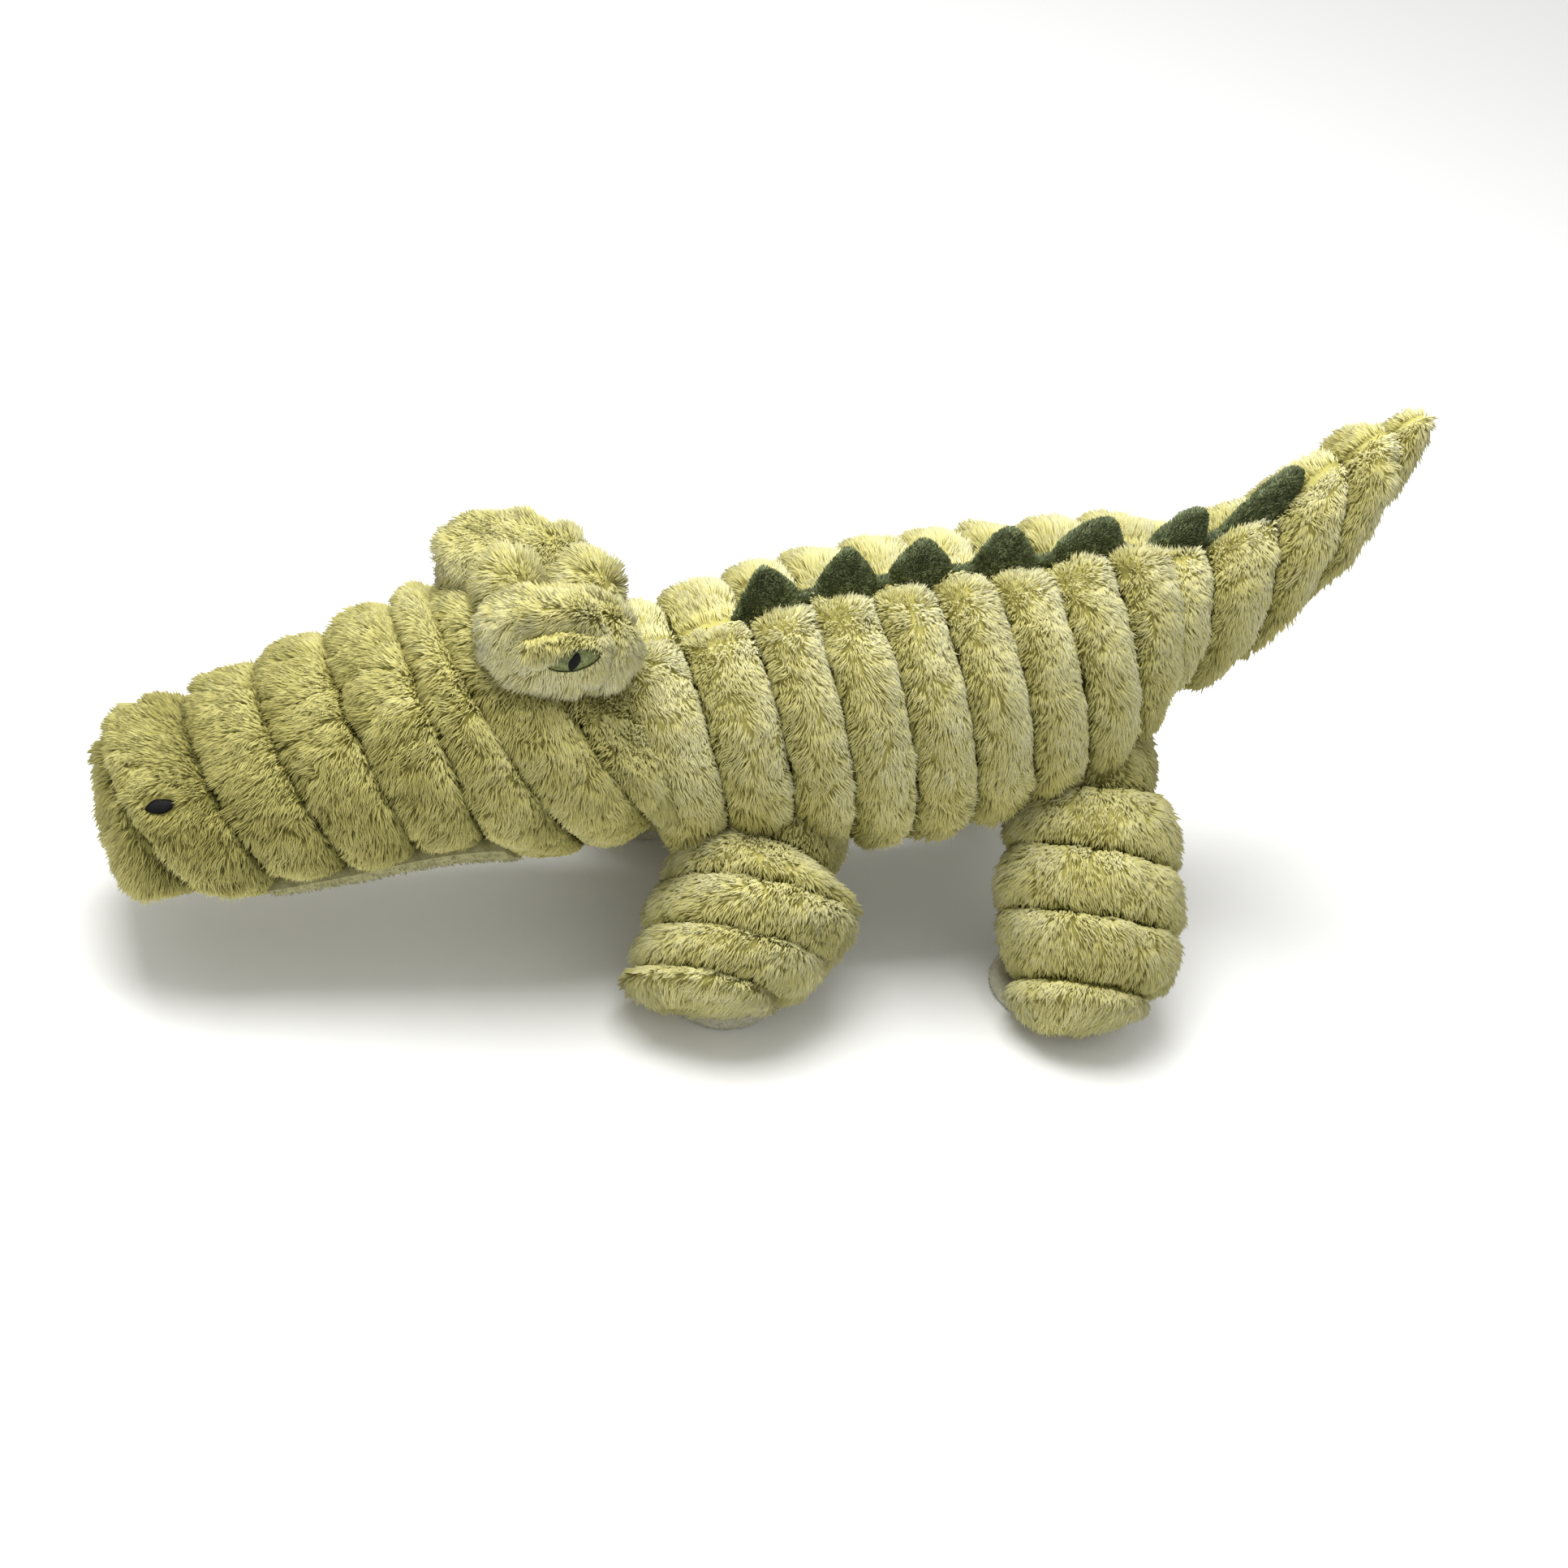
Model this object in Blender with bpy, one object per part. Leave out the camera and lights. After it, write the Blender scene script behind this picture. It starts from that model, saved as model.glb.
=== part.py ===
"""Plush crocodile dog toy: quilted fur body on four splayed legs, with a sprung neck, tail and legs.

Metres, +Z up. +X runs towards the tail and +Y is the toy's right side. The origin is on the
floor, under the middle of the toy's length. The toy stands on its four soles.
"""
import math

import bmesh
import bpy
from mathutils import Vector

MM = 0.001

# Lengths along the toy: nose to neck pivot, neck pivot to tail pivot, tail pivot to tail end
HEAD_LENGTH = 243 * MM
TORSO_LENGTH = 241 * MM
TAIL_LENGTH = 129 * MM

# Heights above the floor, and the rises and drops of the three centre lines
NECK_HEIGHT = 103 * MM
TORSO_RISE = 58 * MM
HEAD_DROP = 42 * MM
TAIL_RISE = 104 * MM

# Cross-sections, measured in the sewn seams
TORSO_RADIUS = 65 * MM
HEAD_HALF_WIDTH = 64 * MM
HEAD_HALF_HEIGHT = 68 * MM
TAIL_HALF_WIDTH = 38 * MM
TAIL_HALF_HEIGHT = 46 * MM

# Quilting: how far the stuffing swells each roll out between two seams, and the least spacing
# of the seams at which it swells that far
ROLL_BULGE = 7 * MM
ROLL_PITCH = 20 * MM
LEG_ROLL_BULGE = 4.5 * MM

# Gaps: between sewn pieces at rest, between a joint's ball and its cup, and under a foot's fur
SEAM_GAP = 0.3 * MM
CUP_GAP = 0.95 * MM
FOOT_GAP = 1 * MM

# Joint balls of the stuffing, and half the bend that each joint's groove leaves room for
NECK_BALL_RADIUS = 42 * MM
TAIL_BALL_RADIUS = 33 * MM
LEG_BALL_RADIUS = 33 * MM
NECK_LEAN_DEG = 26
TAIL_LEAN_DEG = 18
NECK_CHILD_DEG = 85
NECK_PARENT_DEG = 94
TAIL_CHILD_DEG = 85
TAIL_PARENT_DEG = 97
LEG_CHILD_DEG = 74
LEG_PARENT_DEG = 87

# Legs: ball places, foot centres and radii
FRONT_LEG_SPACING = 82 * MM
FRONT_LEG_HEIGHT = 68 * MM
FRONT_FOOT_SPREAD = 32 * MM
FRONT_FOOT_FORWARD = 22 * MM
FRONT_FOOT_HEIGHT = 42 * MM
FRONT_LEG_RADIUS = 42 * MM
FRONT_FOOT_REACH = 43 * MM
HIND_LEG_SPACING = 80 * MM
HIND_LEG_HEIGHT = 97 * MM
HIND_FOOT_SPREAD = 60 * MM
HIND_FOOT_FORWARD = 12 * MM
HIND_FOOT_HEIGHT = 35 * MM
HIND_LEG_RADIUS = 39 * MM
HIND_FOOT_REACH = 34 * MM

# Soles: flat pads of smooth plush that the toy stands on
SOLE_RADIUS = 23 * MM
SOLE_THICKNESS = 9 * MM
SOLE_EDGE = 3 * MM

# Spikes of smooth plush, sewn into the back seam
SPIKE_HEIGHT = 21 * MM
SPIKE_THICKNESS = 13 * MM

# Eye bumps, crown rolls, embroidered eyes and nostrils
EYE_BUMP_LENGTH = 70 * MM
EYE_BUMP_WIDTH = 47 * MM
EYE_BUMP_HEIGHT = 54 * MM
EYE_SPACING = 60 * MM
EYE_RISE = 10.5 * MM
BROW_DEPTH = 3.5 * MM
CROWN_LENGTH = 30 * MM
CROWN_WIDTH = 44 * MM
CROWN_HEIGHT = 40 * MM
CROWN_RISE = 14.5 * MM
EYE_LENGTH = 23 * MM
EYE_OPENING = 10 * MM
PUPIL_LENGTH = 5 * MM
PUPIL_HEIGHT = 8 * MM
NOSTRIL_LENGTH = 10 * MM
NOSTRIL_HEIGHT = 7 * MM
STITCH_THICKNESS = 1.4 * MM

# Smooth plush panels under the jaw and the belly
PANEL_THICKNESS = 2.5 * MM

# Squeaker: a blown bulb with a reed in its neck, in a pocket behind the belly panel
SQUEAKER_RADIUS = 24 * MM
SQUEAKER_HEIGHT = 26 * MM
SQUEAKER_WALL = 1.5 * MM
SQUEAKER_DEPTH = 3 * MM
REED_RADIUS = 6 * MM
REED_LENGTH = 11 * MM
REED_BORE = 2.5 * MM

# Room that a cutter needs past the piece that it cuts, and stuffing left over for it
OVERRUN = 90 * MM
BALL_OVERSIZE = 1.5 * MM

# Angles round the body: half the width of the spikes, of the back seam and of the underside
SPIKE_ANGLE = math.radians(11.3)
BACK_SEAM_ANGLE = math.radians(12)
PANEL_ANGLE = math.radians(38)

# Counts of facets
BODY_SIDES = 32
LEG_SIDES = 20
LATHE_SIDES = 24
PATCH_SIDES = 16
ARC_STEPS = 5
CENTRE_STEPS = 90

# Places of the rings inside one roll, as shares of the way from seam to seam
ROLL_STEP_SHARES = (0.0, 0.18, 0.5, 0.82)

# Seams from the neck to the tail root. Shares: along TORSO_LENGTH, up TORSO_RISE, of
# TORSO_RADIUS across and upright; then the lean of the seam in degrees, top to the nose
TORSO_SEAM_SHARES = (
    (-0.02, -0.02, 0.80, 0.80, 26),
    (0.116, 0.035, 0.88, 0.88, 18),
    (0.241, 0.140, 0.93, 0.93, 16),
    (0.353, 0.220, 0.99, 0.98, 15),
    (0.473, 0.280, 1.03, 1.02, 15),
    (0.589, 0.380, 1.03, 1.00, 15),
    (0.705, 0.480, 1.00, 0.97, 15),
    (0.822, 0.585, 0.93, 0.93, 16),
    (0.925, 0.775, 0.83, 0.84, 13),
    (1.020, 1.020, 0.58, 0.60, 6),
)

# Seams from the neck to the nose. Shares: along HEAD_LENGTH, up HEAD_DROP, of
# HEAD_HALF_WIDTH, of HEAD_HALF_HEIGHT; then the lean in degrees
HEAD_SEAM_SHARES = (
    (-0.03, -0.02, 0.80, 0.76, 26),
    (0.100, 0.400, 0.98, 0.93, 38),
    (0.235, 0.200, 1.03, 1.00, 42),
    (0.365, 0.180, 0.98, 0.80, 23),
    (0.480, -0.080, 0.91, 0.71, 30),
    (0.600, -0.330, 0.87, 0.67, 34),
    (0.720, -0.520, 0.81, 0.62, 38),
    (0.830, -0.780, 0.75, 0.56, 42),
)
HEAD_END_SHARES = ((0.872, -0.94, 0.71, 0.53, 42), (0.900, -1.05, 0.56, 0.42, 42))

# Seams from the tail root to the tail end, in the same order, of the tail's sizes
TAIL_SEAM_SHARES = (
    (-0.04, -0.02, 0.92, 0.80, 6),
    (0.150, -0.040, 0.90, 0.98, -3),
    (0.380, 0.130, 0.74, 1.04, -8),
    (0.580, 0.440, 0.68, 0.97, -12),
    (0.750, 0.710, 0.58, 0.84, -14),
)
TAIL_END_SHARES = ((0.850, 0.850, 0.44, 0.70, -14), (0.920, 0.950, 0.24, 0.44, -14))

# Spikes: seam where each starts, seam where it ends, share of the full height, lean back
TORSO_SPIKE_SHARES = (
    (1.85, 3.00, 1.00, 0.10),
    (3.05, 4.20, 1.00, 0.10),
    (4.30, 5.45, 0.92, 0.10),
    (5.75, 6.95, 1.00, 0.10),
    (7.10, 8.30, 0.92, 0.30),
)
TAIL_SPIKE_SHARES = ((0.15, 1.08, 0.85, 0.45), (1.12, 2.20, 0.85, 0.60))

# Rings of a spike: share of the height with share of the length, and the foot's own rings
SPIKE_LEVEL_SHARES = ((0.3, 0.82), (0.6, 0.55), (0.85, 0.26))
SPIKE_FOOT_SHARES = (0.3, 0.65, 1.0)

# How square a roll's swell is between its seams, and how pointed an almond is
ROLL_POWER = 0.7
ALMOND_POWER = 0.3

# Legs: share of the torso's length from the neck pivot to each pair
FRONT_LEG_SHARE = 0.257
HIND_LEG_SHARE = 0.913

# Seams of a leg: share of the way from the ball to the toes, share of the leg's radius
FRONT_LEG_SEAM_SHARES = ((0.42, 1.02), (0.68, 1.02), (0.88, 0.82))
HIND_LEG_SEAM_SHARES = ((0.33, 1.00), (0.58, 1.05), (0.82, 0.86))
TOE_STEP_SHARES = (0.3, 0.6, 0.85)
SOLE_PLACE_SHARE = 0.84

# Underside panels: shares of the row of rolls where each starts and ends, and its width in
# facets to each side
BELLY_SPAN_SHARES = (0.388, 0.647)
JAW_SPAN_SHARES = (0.357, 0.929)
PANEL_FANS = 3

# Small pieces: the nostril's and the eyes' places along the head's rolls, the brow's fold, the
# crown's rolls
NOSTRIL_SHARE = 0.964
EYE_PLACE_SHARE = 0.112
NOSTRIL_TURN = math.radians(46)
NOSE_ROLL_SHARE = 0.128
BROW_SHARE = 1.1
CROWN_ROLLS = 2
PATCH_RING_SHARE = 0.55

# Squeaker: outline of the bulb, and how deep the reed sits
SQUEAKER_OUTLINE_SHARES = ((0.0, 0.80), (0.12, 0.94), (0.35, 1.0), (0.65, 1.0), (0.88, 0.94),
                           (1.0, 0.80))
REED_SINK_SHARE = 0.7

# Angles of the rings behind a joint's ball, and the edge that shades sharp
BALL_RING_ANGLES = (math.radians(160), math.radians(140), math.radians(120))
SHARP_ANGLE = math.radians(40)

PLUSH_COLOUR = (0.56, 0.54, 0.24)
SMOOTH_COLOUR = (0.60, 0.60, 0.50)
SPIKE_COLOUR = (0.05, 0.09, 0.03)
EYE_COLOUR = (0.18, 0.27, 0.09)
BLACK_THREAD_COLOUR = (0.01, 0.01, 0.012)
SQUEAKER_COLOUR = (0.75, 0.75, 0.72)

LENGTH = HEAD_LENGTH + TORSO_LENGTH + TAIL_LENGTH
NECK_X = HEAD_LENGTH - LENGTH / 2
NECK_PIVOT = Vector((NECK_X, 0, NECK_HEIGHT))
TAIL_PIVOT = Vector((NECK_X + TORSO_LENGTH, 0, NECK_HEIGHT + TORSO_RISE))
EYE_BUMP_HALVES = (EYE_BUMP_LENGTH / 2, EYE_BUMP_WIDTH / 2, EYE_BUMP_HEIGHT / 2)

FRONT_LEG = (FRONT_LEG_SPACING, FRONT_LEG_SHARE, FRONT_LEG_HEIGHT, FRONT_FOOT_SPREAD,
             FRONT_FOOT_FORWARD, FRONT_FOOT_HEIGHT, FRONT_LEG_RADIUS, FRONT_FOOT_REACH,
             FRONT_LEG_SEAM_SHARES)
HIND_LEG = (HIND_LEG_SPACING, HIND_LEG_SHARE, HIND_LEG_HEIGHT, HIND_FOOT_SPREAD,
            HIND_FOOT_FORWARD, HIND_FOOT_HEIGHT, HIND_LEG_RADIUS, HIND_FOOT_REACH,
            HIND_LEG_SEAM_SHARES)


# Stations: a row is (x, z, half width, half height, lean in radians)
def stations(shares, start, length, rise, half_width, half_height):
    """Turn a table of shares into stations in metres along one centre line."""
    rows = []
    for along, up, wide, high, lean in shares:
        rows.append((start.x + along * length, start.z + up * rise, wide * half_width,
                     high * half_height, math.radians(lean)))
    return rows


def station_between(rows, place):
    """Station at a fractional seam number, on a cubic through the four seams around it."""
    i = min(int(place), len(rows) - 2)
    t = place - i
    p = [rows[max(0, min(len(rows) - 1, i + k))] for k in (-1, 0, 1, 2)]
    found = []
    for a, b, c, d in zip(*p):
        slope = (c - a) / 2
        slope_end = (d - b) / 2
        rest = c - b - slope
        bend = slope_end - slope
        found.append(b + slope * t + (3 * rest - bend) * t * t + (bend - 2 * rest) * t ** 3)
    return found


def smooth_step(low, high, value):
    """Rise from 0 at low to 1 at high, level at both ends."""
    share = min(1.0, max(0.0, (value - low) / (high - low)))
    return share * share * (3 - 2 * share)


def ring_point(row, turn, out):
    """Point of a leaning oval ring: turn 0 is the back and a quarter turn is the +Y side."""
    x, z, wide, high, lean = row
    side = (wide + out) * math.sin(turn)
    up = (high + out) * math.cos(turn)
    return Vector((x - up * math.sin(lean), side, z + up * math.cos(lean)))


def roll_swell(rows, place, turn):
    """Swell of a roll: nothing in its seams, in the back seam or on the smooth underside."""
    from_back = abs(math.remainder(turn, 2 * math.pi))
    from_belly = math.pi - from_back
    open_share = smooth_step(0, BACK_SEAM_ANGLE, from_back - SPIKE_ANGLE)
    belly_share = smooth_step(PANEL_ANGLE, PANEL_ANGLE + BACK_SEAM_ANGLE, from_belly)
    seam = min(int(place), len(rows) - 2)
    pitch = (ring_point(rows[seam + 1], turn, 0) - ring_point(rows[seam], turn, 0)).length
    full = ROLL_BULGE * min(1.0, pitch / ROLL_PITCH)
    return full * abs(math.sin(math.pi * place)) ** ROLL_POWER * open_share * belly_share


def skin_point(rows, place, turn, height=0.0):
    """Point of the quilted skin, or of a skin that lies a height over it."""
    return ring_point(station_between(rows, place), turn, roll_swell(rows, place, turn) + height)


def ring_places(seams):
    """Places of the rings of a loft over so many seams."""
    places = [i + share for i in range(seams - 1) for share in ROLL_STEP_SHARES]
    return places + [seams - 1.0]


def skin_rings(rows, height, sides):
    """Rings of a quilted body, one after another from its first seam to its last."""
    turns = [2 * math.pi * k / sides for k in range(sides)]
    return [[skin_point(rows, place, turn, height) for turn in turns]
            for place in ring_places(len(rows))]


def plain_rings(rows, height, sides):
    """Rings through stations as they are, for the rounded end of a body."""
    turns = [2 * math.pi * k / sides for k in range(sides)]
    return [[ring_point(row, turn, height) for turn in turns] for row in rows]


# Mesh builders
def loft(rings):
    """Closed mesh over a row of equal rings, with a fan at each end."""
    bm = bmesh.new()
    loops = [[bm.verts.new(p) for p in ring] for ring in rings]
    count = len(loops[0])
    for low, high in zip(loops, loops[1:]):
        for k in range(count):
            n = (k + 1) % count
            bm.faces.new((low[k], low[n], high[n], high[k]))
    for loop in (loops[0], loops[-1]):
        middle = sum((v.co for v in loop), Vector()) / count
        pole = bm.verts.new(middle)
        for k in range(count):
            bm.faces.new((loop[k], loop[(k + 1) % count], pole))
    bmesh.ops.triangulate(bm, faces=bm.faces)
    bmesh.ops.recalc_face_normals(bm, faces=bm.faces)
    return bm


def lathe(profile, pivot, axis, sides=LATHE_SIDES):
    """Closed solid turned round an axis through the pivot, from (along, out) points."""
    axis = Vector(axis).normalized()
    across = axis.orthogonal().normalized()
    other = axis.cross(across)
    bm = bmesh.new()
    loops = []
    for along, out in profile:
        if out == 0:
            loops.append([bm.verts.new(pivot + axis * along)])
            continue
        ring = []
        for k in range(sides):
            turn = 2 * math.pi * k / sides
            arm = across * math.cos(turn) + other * math.sin(turn)
            ring.append(bm.verts.new(pivot + axis * along + arm * out))
        loops.append(ring)
    for low, high in zip(loops, loops[1:]):
        for k in range(sides):
            n = (k + 1) % sides
            corners = [low[k % len(low)], low[n % len(low)], high[n % len(high)], high[k % len(high)]]
            bm.faces.new(list(dict.fromkeys(corners)))
    bmesh.ops.recalc_face_normals(bm, faces=bm.faces)
    return bm


def arc(radius, start_deg, end_deg, steps=ARC_STEPS):
    """Points (along, out) of an arc about the pivot, by angle from the axis."""
    points = []
    for k in range(steps + 1):
        angle = math.radians(start_deg + (end_deg - start_deg) * k / steps)
        points.append((radius * math.cos(angle), radius * math.sin(angle)))
    return points


def ellipsoid(centre, half_sizes, sides=LEG_SIDES):
    """Closed ellipsoid with its poles up and down."""
    bm = bmesh.new()
    bmesh.ops.create_uvsphere(bm, u_segments=sides, v_segments=sides // 2, radius=1)
    for v in bm.verts:
        v.co = centre + Vector(v.co[i] * half_sizes[i] for i in range(3))
    return bm


def patch(surface, outline, low, high):
    """Sewn or stitched patch on a curved surface, inside an outline of (a, b) places.

    surface(a, b, height) gives the point at a height over the surface.
    """
    shells = []
    bm = bmesh.new()
    for height in (low, high):
        rings = [[bm.verts.new(surface(a * s, b * s, height)) for a, b in outline]
                 for s in (1.0, PATCH_RING_SHARE)]
        pole = bm.verts.new(surface(0, 0, height))
        shells.append((rings, pole))
    count = len(outline)
    for k in range(count):
        n = (k + 1) % count
        for rings, pole in shells:
            bm.faces.new((rings[0][k], rings[0][n], rings[1][n], rings[1][k]))
            bm.faces.new((rings[1][k], rings[1][n], pole))
        under, over = shells[0][0][0], shells[1][0][0]
        bm.faces.new((under[k], under[n], over[n], over[k]))
    bmesh.ops.triangulate(bm, faces=bm.faces)
    bmesh.ops.recalc_face_normals(bm, faces=bm.faces)
    return bm


# Objects and materials
def material(name, colour, roughness):
    """Plain material of one colour."""
    made = bpy.data.materials.new(name)
    made.use_nodes = True
    shader = made.node_tree.nodes["Principled BSDF"]
    shader.inputs["Base Color"].default_value = (*colour, 1)
    shader.inputs["Roughness"].default_value = roughness
    shader.inputs["Metallic"].default_value = 0
    return made


def add_object(name, bm, origin, colour, parent=None, roughness=0.9):
    """Put a mesh in the scene with its origin at a point, and parent it."""
    bmesh.ops.translate(bm, verts=bm.verts, vec=-origin)
    mesh = bpy.data.meshes.new(name)
    bm.to_mesh(mesh)
    bm.free()
    mesh.shade_smooth()
    mesh.set_sharp_from_angle(angle=SHARP_ANGLE)
    mesh.materials.append(material(name, colour, roughness))
    made = bpy.data.objects.new(name, mesh)
    bpy.context.collection.objects.link(made)
    made.location = origin
    if parent:
        made.parent = parent
        made.location = origin - parent.location
    return made


def add_cutter(name, bm):
    """Put a cutter in the scene: seen as wires, and left out of the toy."""
    mesh = bpy.data.meshes.new(name)
    bm.to_mesh(mesh)
    bm.free()
    made = bpy.data.objects.new(name, mesh)
    bpy.context.collection.objects.link(made)
    made.hide_render = True
    made.display_type = "WIRE"
    return made


def cut(target, bm, what):
    """Take a closed mesh away from a piece."""
    cutter = add_cutter(f"{target.name}.{what}", bm)
    boolean = target.modifiers.new(what, "BOOLEAN")
    boolean.operation = "DIFFERENCE"
    boolean.solver = "EXACT"
    boolean.object = cutter


# Joints: the moving piece ends in a ball of stuffing, the piece that carries it has the cup
def cup_room(pivot, axis, radius, parent_deg):
    """What a joint takes from the piece that carries it: the cup and the side it opens to."""
    cup = arc(radius + CUP_GAP, 180, parent_deg)
    cup[0] = (-radius - CUP_GAP, 0)
    rim = math.radians(parent_deg)
    far = (OVERRUN * math.cos(rim), OVERRUN * math.sin(rim))
    return lathe(cup + [far, (OVERRUN, far[1]), (OVERRUN, 0)], pivot, axis)


def shoulder_room(pivot, axis, radius, child_deg):
    """What a joint takes from the moving piece: all that lies behind its cone, but the ball."""
    ball = arc(radius, 180, child_deg)
    ball[0] = (-radius, 0)
    rim = math.radians(child_deg)
    far = (OVERRUN * math.cos(rim), OVERRUN * math.sin(rim))
    return lathe(ball + [far, (-OVERRUN, far[1]), (-OVERRUN, 0)], pivot, axis)


def lean_axis(lean_deg, forward):
    """Axis square to a seam of this lean: forward -1 is to the nose, 1 to the tail."""
    lean = math.radians(lean_deg)
    return Vector((forward * math.cos(lean), 0, forward * math.sin(lean)))


TORSO_ROWS = stations(TORSO_SEAM_SHARES, NECK_PIVOT, TORSO_LENGTH, TORSO_RISE,
                      TORSO_RADIUS, TORSO_RADIUS)
HEAD_ROWS = stations(HEAD_SEAM_SHARES, NECK_PIVOT, -HEAD_LENGTH, HEAD_DROP,
                     HEAD_HALF_WIDTH, HEAD_HALF_HEIGHT)
HEAD_END_ROWS = stations(HEAD_END_SHARES, NECK_PIVOT, -HEAD_LENGTH, HEAD_DROP,
                         HEAD_HALF_WIDTH, HEAD_HALF_HEIGHT)
TAIL_ROWS = stations(TAIL_SEAM_SHARES, TAIL_PIVOT, TAIL_LENGTH, TAIL_RISE,
                     TAIL_HALF_WIDTH, TAIL_HALF_HEIGHT)
TAIL_END_ROWS = stations(TAIL_END_SHARES, TAIL_PIVOT, TAIL_LENGTH, TAIL_RISE,
                         TAIL_HALF_WIDTH, TAIL_HALF_HEIGHT)
NECK_AXIS = lean_axis(NECK_LEAN_DEG, -1)
TAIL_AXIS = lean_axis(TAIL_LEAN_DEG, 1)


# The pieces
def body(name, rings, origin, colour, parent=None):
    """A stuffed body lofted over its rings."""
    return add_object(name, loft(rings), origin, colour, parent)


def ball_start(pivot, axis, radius, rings):
    """Rings that carry a body's open end round behind its joint's pivot, to be cut to a ball."""
    axis = Vector(axis).normalized()
    radius += BALL_OVERSIZE
    found = []
    for angle in BALL_RING_ANGLES:
        along = pivot + axis * radius * math.cos(angle)
        out = radius * math.sin(angle)
        ring = []
        for point in rings[0]:
            arm = point - pivot
            arm -= axis * arm.dot(axis)
            ring.append(along + arm.normalized() * out)
        found.append(ring)
    return found


def make_torso():
    """Torso: quilted rolls from neck to rump, with a cup for every joint."""
    torso = body("torso", skin_rings(TORSO_ROWS, 0.0, BODY_SIDES), Vector(), PLUSH_COLOUR)
    cut(torso, cup_room(NECK_PIVOT, NECK_AXIS, NECK_BALL_RADIUS, NECK_PARENT_DEG), "neck_cup")
    cut(torso, cup_room(TAIL_PIVOT, TAIL_AXIS, TAIL_BALL_RADIUS, TAIL_PARENT_DEG), "tail_cup")
    for leg in LEGS:
        cut(torso, cup_room(leg.pivot, leg.socket_axis, LEG_BALL_RADIUS, LEG_PARENT_DEG),
            f"{leg.name}_cup")
    return torso


def make_head():
    """Head: snout and cheek rolls, ending in the neck's ball."""
    rings = skin_rings(HEAD_ROWS, 0.0, BODY_SIDES)
    rings = ball_start(NECK_PIVOT, NECK_AXIS, NECK_BALL_RADIUS, rings) + rings
    rings += plain_rings(HEAD_END_ROWS, 0.0, BODY_SIDES)
    head = body("head", rings, NECK_PIVOT, PLUSH_COLOUR)
    cut(head, shoulder_room(NECK_PIVOT, NECK_AXIS, NECK_BALL_RADIUS, NECK_CHILD_DEG), "neck")
    return head


def make_tail():
    """Tail: tall narrow rolls that rise to a blunt end, on the tail root's ball."""
    rings = skin_rings(TAIL_ROWS, 0.0, BODY_SIDES)
    rings = ball_start(TAIL_PIVOT, TAIL_AXIS, TAIL_BALL_RADIUS, rings) + rings
    rings += plain_rings(TAIL_END_ROWS, 0.0, BODY_SIDES)
    tail = body("tail", rings, TAIL_PIVOT, PLUSH_COLOUR)
    cut(tail, shoulder_room(TAIL_PIVOT, TAIL_AXIS, TAIL_BALL_RADIUS, TAIL_CHILD_DEG), "root")
    return tail


def outward_from_torso(point):
    """Direction square to the torso's skin under a point: away from its centre line."""
    places = [(len(TORSO_ROWS) - 1) * k / CENTRE_STEPS for k in range(CENTRE_STEPS + 1)]
    centres = [Vector((x, 0, z)) for x, z, *_ in (station_between(TORSO_ROWS, p) for p in places)]
    nearest = min(centres, key=lambda centre: (point - centre).length)
    return (point - nearest).normalized()


class Leg:
    """Places and sizes of one leg: its ball, the way it points and its rolls."""

    def __init__(self, name, side, sizes):
        spacing, share, height, spread, forward, foot_height, radius, reach, seams = sizes
        self.name = name
        self.pivot = Vector((NECK_X + share * TORSO_LENGTH, side * spacing / 2, height))
        step = Vector((-forward, side * spread, foot_height - height))
        self.axis = step.normalized()
        self.length = step.length + reach
        self.radius = radius
        self.seams = seams
        self.socket_axis = (outward_from_torso(self.pivot) + self.axis / 2).normalized()
        down = Vector((0, 0, -1))
        under = (down - self.axis * down.dot(self.axis)).normalized()
        spot = self.pivot + self.axis * self.length * SOLE_PLACE_SHARE + under * radius
        self.sole = Vector((spot.x, spot.y, 0))

    def profile(self):
        """Ball, rolls and rounded end of the leg as (along, out) points."""
        points = arc(LEG_BALL_RADIUS + BALL_OVERSIZE, 180, LEG_CHILD_DEG)
        points[0] = (-LEG_BALL_RADIUS - BALL_OVERSIZE, 0)
        root = points[-1]
        seams = [root] + [(a * self.length, r * self.radius) for a, r in self.seams]
        for low, high in zip(seams, seams[1:]):
            for share in ROLL_STEP_SHARES[1:]:
                swell = LEG_ROLL_BULGE * math.sin(math.pi * share) ** ROLL_POWER
                along = low[0] + (high[0] - low[0]) * share
                points.append((along, low[1] + (high[1] - low[1]) * share + swell))
            points.append(high)
        last = seams[-1]
        for share in TOE_STEP_SHARES:
            along = last[0] + (self.length - last[0]) * math.sin(share * math.pi / 2)
            points.append((along, (last[1] + LEG_ROLL_BULGE) * math.cos(share * math.pi / 2)))
        return points + [(self.length, 0)]


def sole_profile(gap):
    """Outline of a sole, as (up, out) points, grown by a gap."""
    low = -OVERRUN if gap else 0
    return [(low, 0), (low, SOLE_RADIUS - SOLE_EDGE + gap), (SOLE_EDGE, SOLE_RADIUS + gap),
            (SOLE_THICKNESS + gap, SOLE_RADIUS + gap - SOLE_EDGE), (SOLE_THICKNESS + gap, 0)]


def floor_profile():
    """Outline of the slab below a standing foot, as (up, out) points."""
    return [(-OVERRUN, 0), (-OVERRUN, OVERRUN), (FOOT_GAP, OVERRUN), (FOOT_GAP, 0)]


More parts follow.
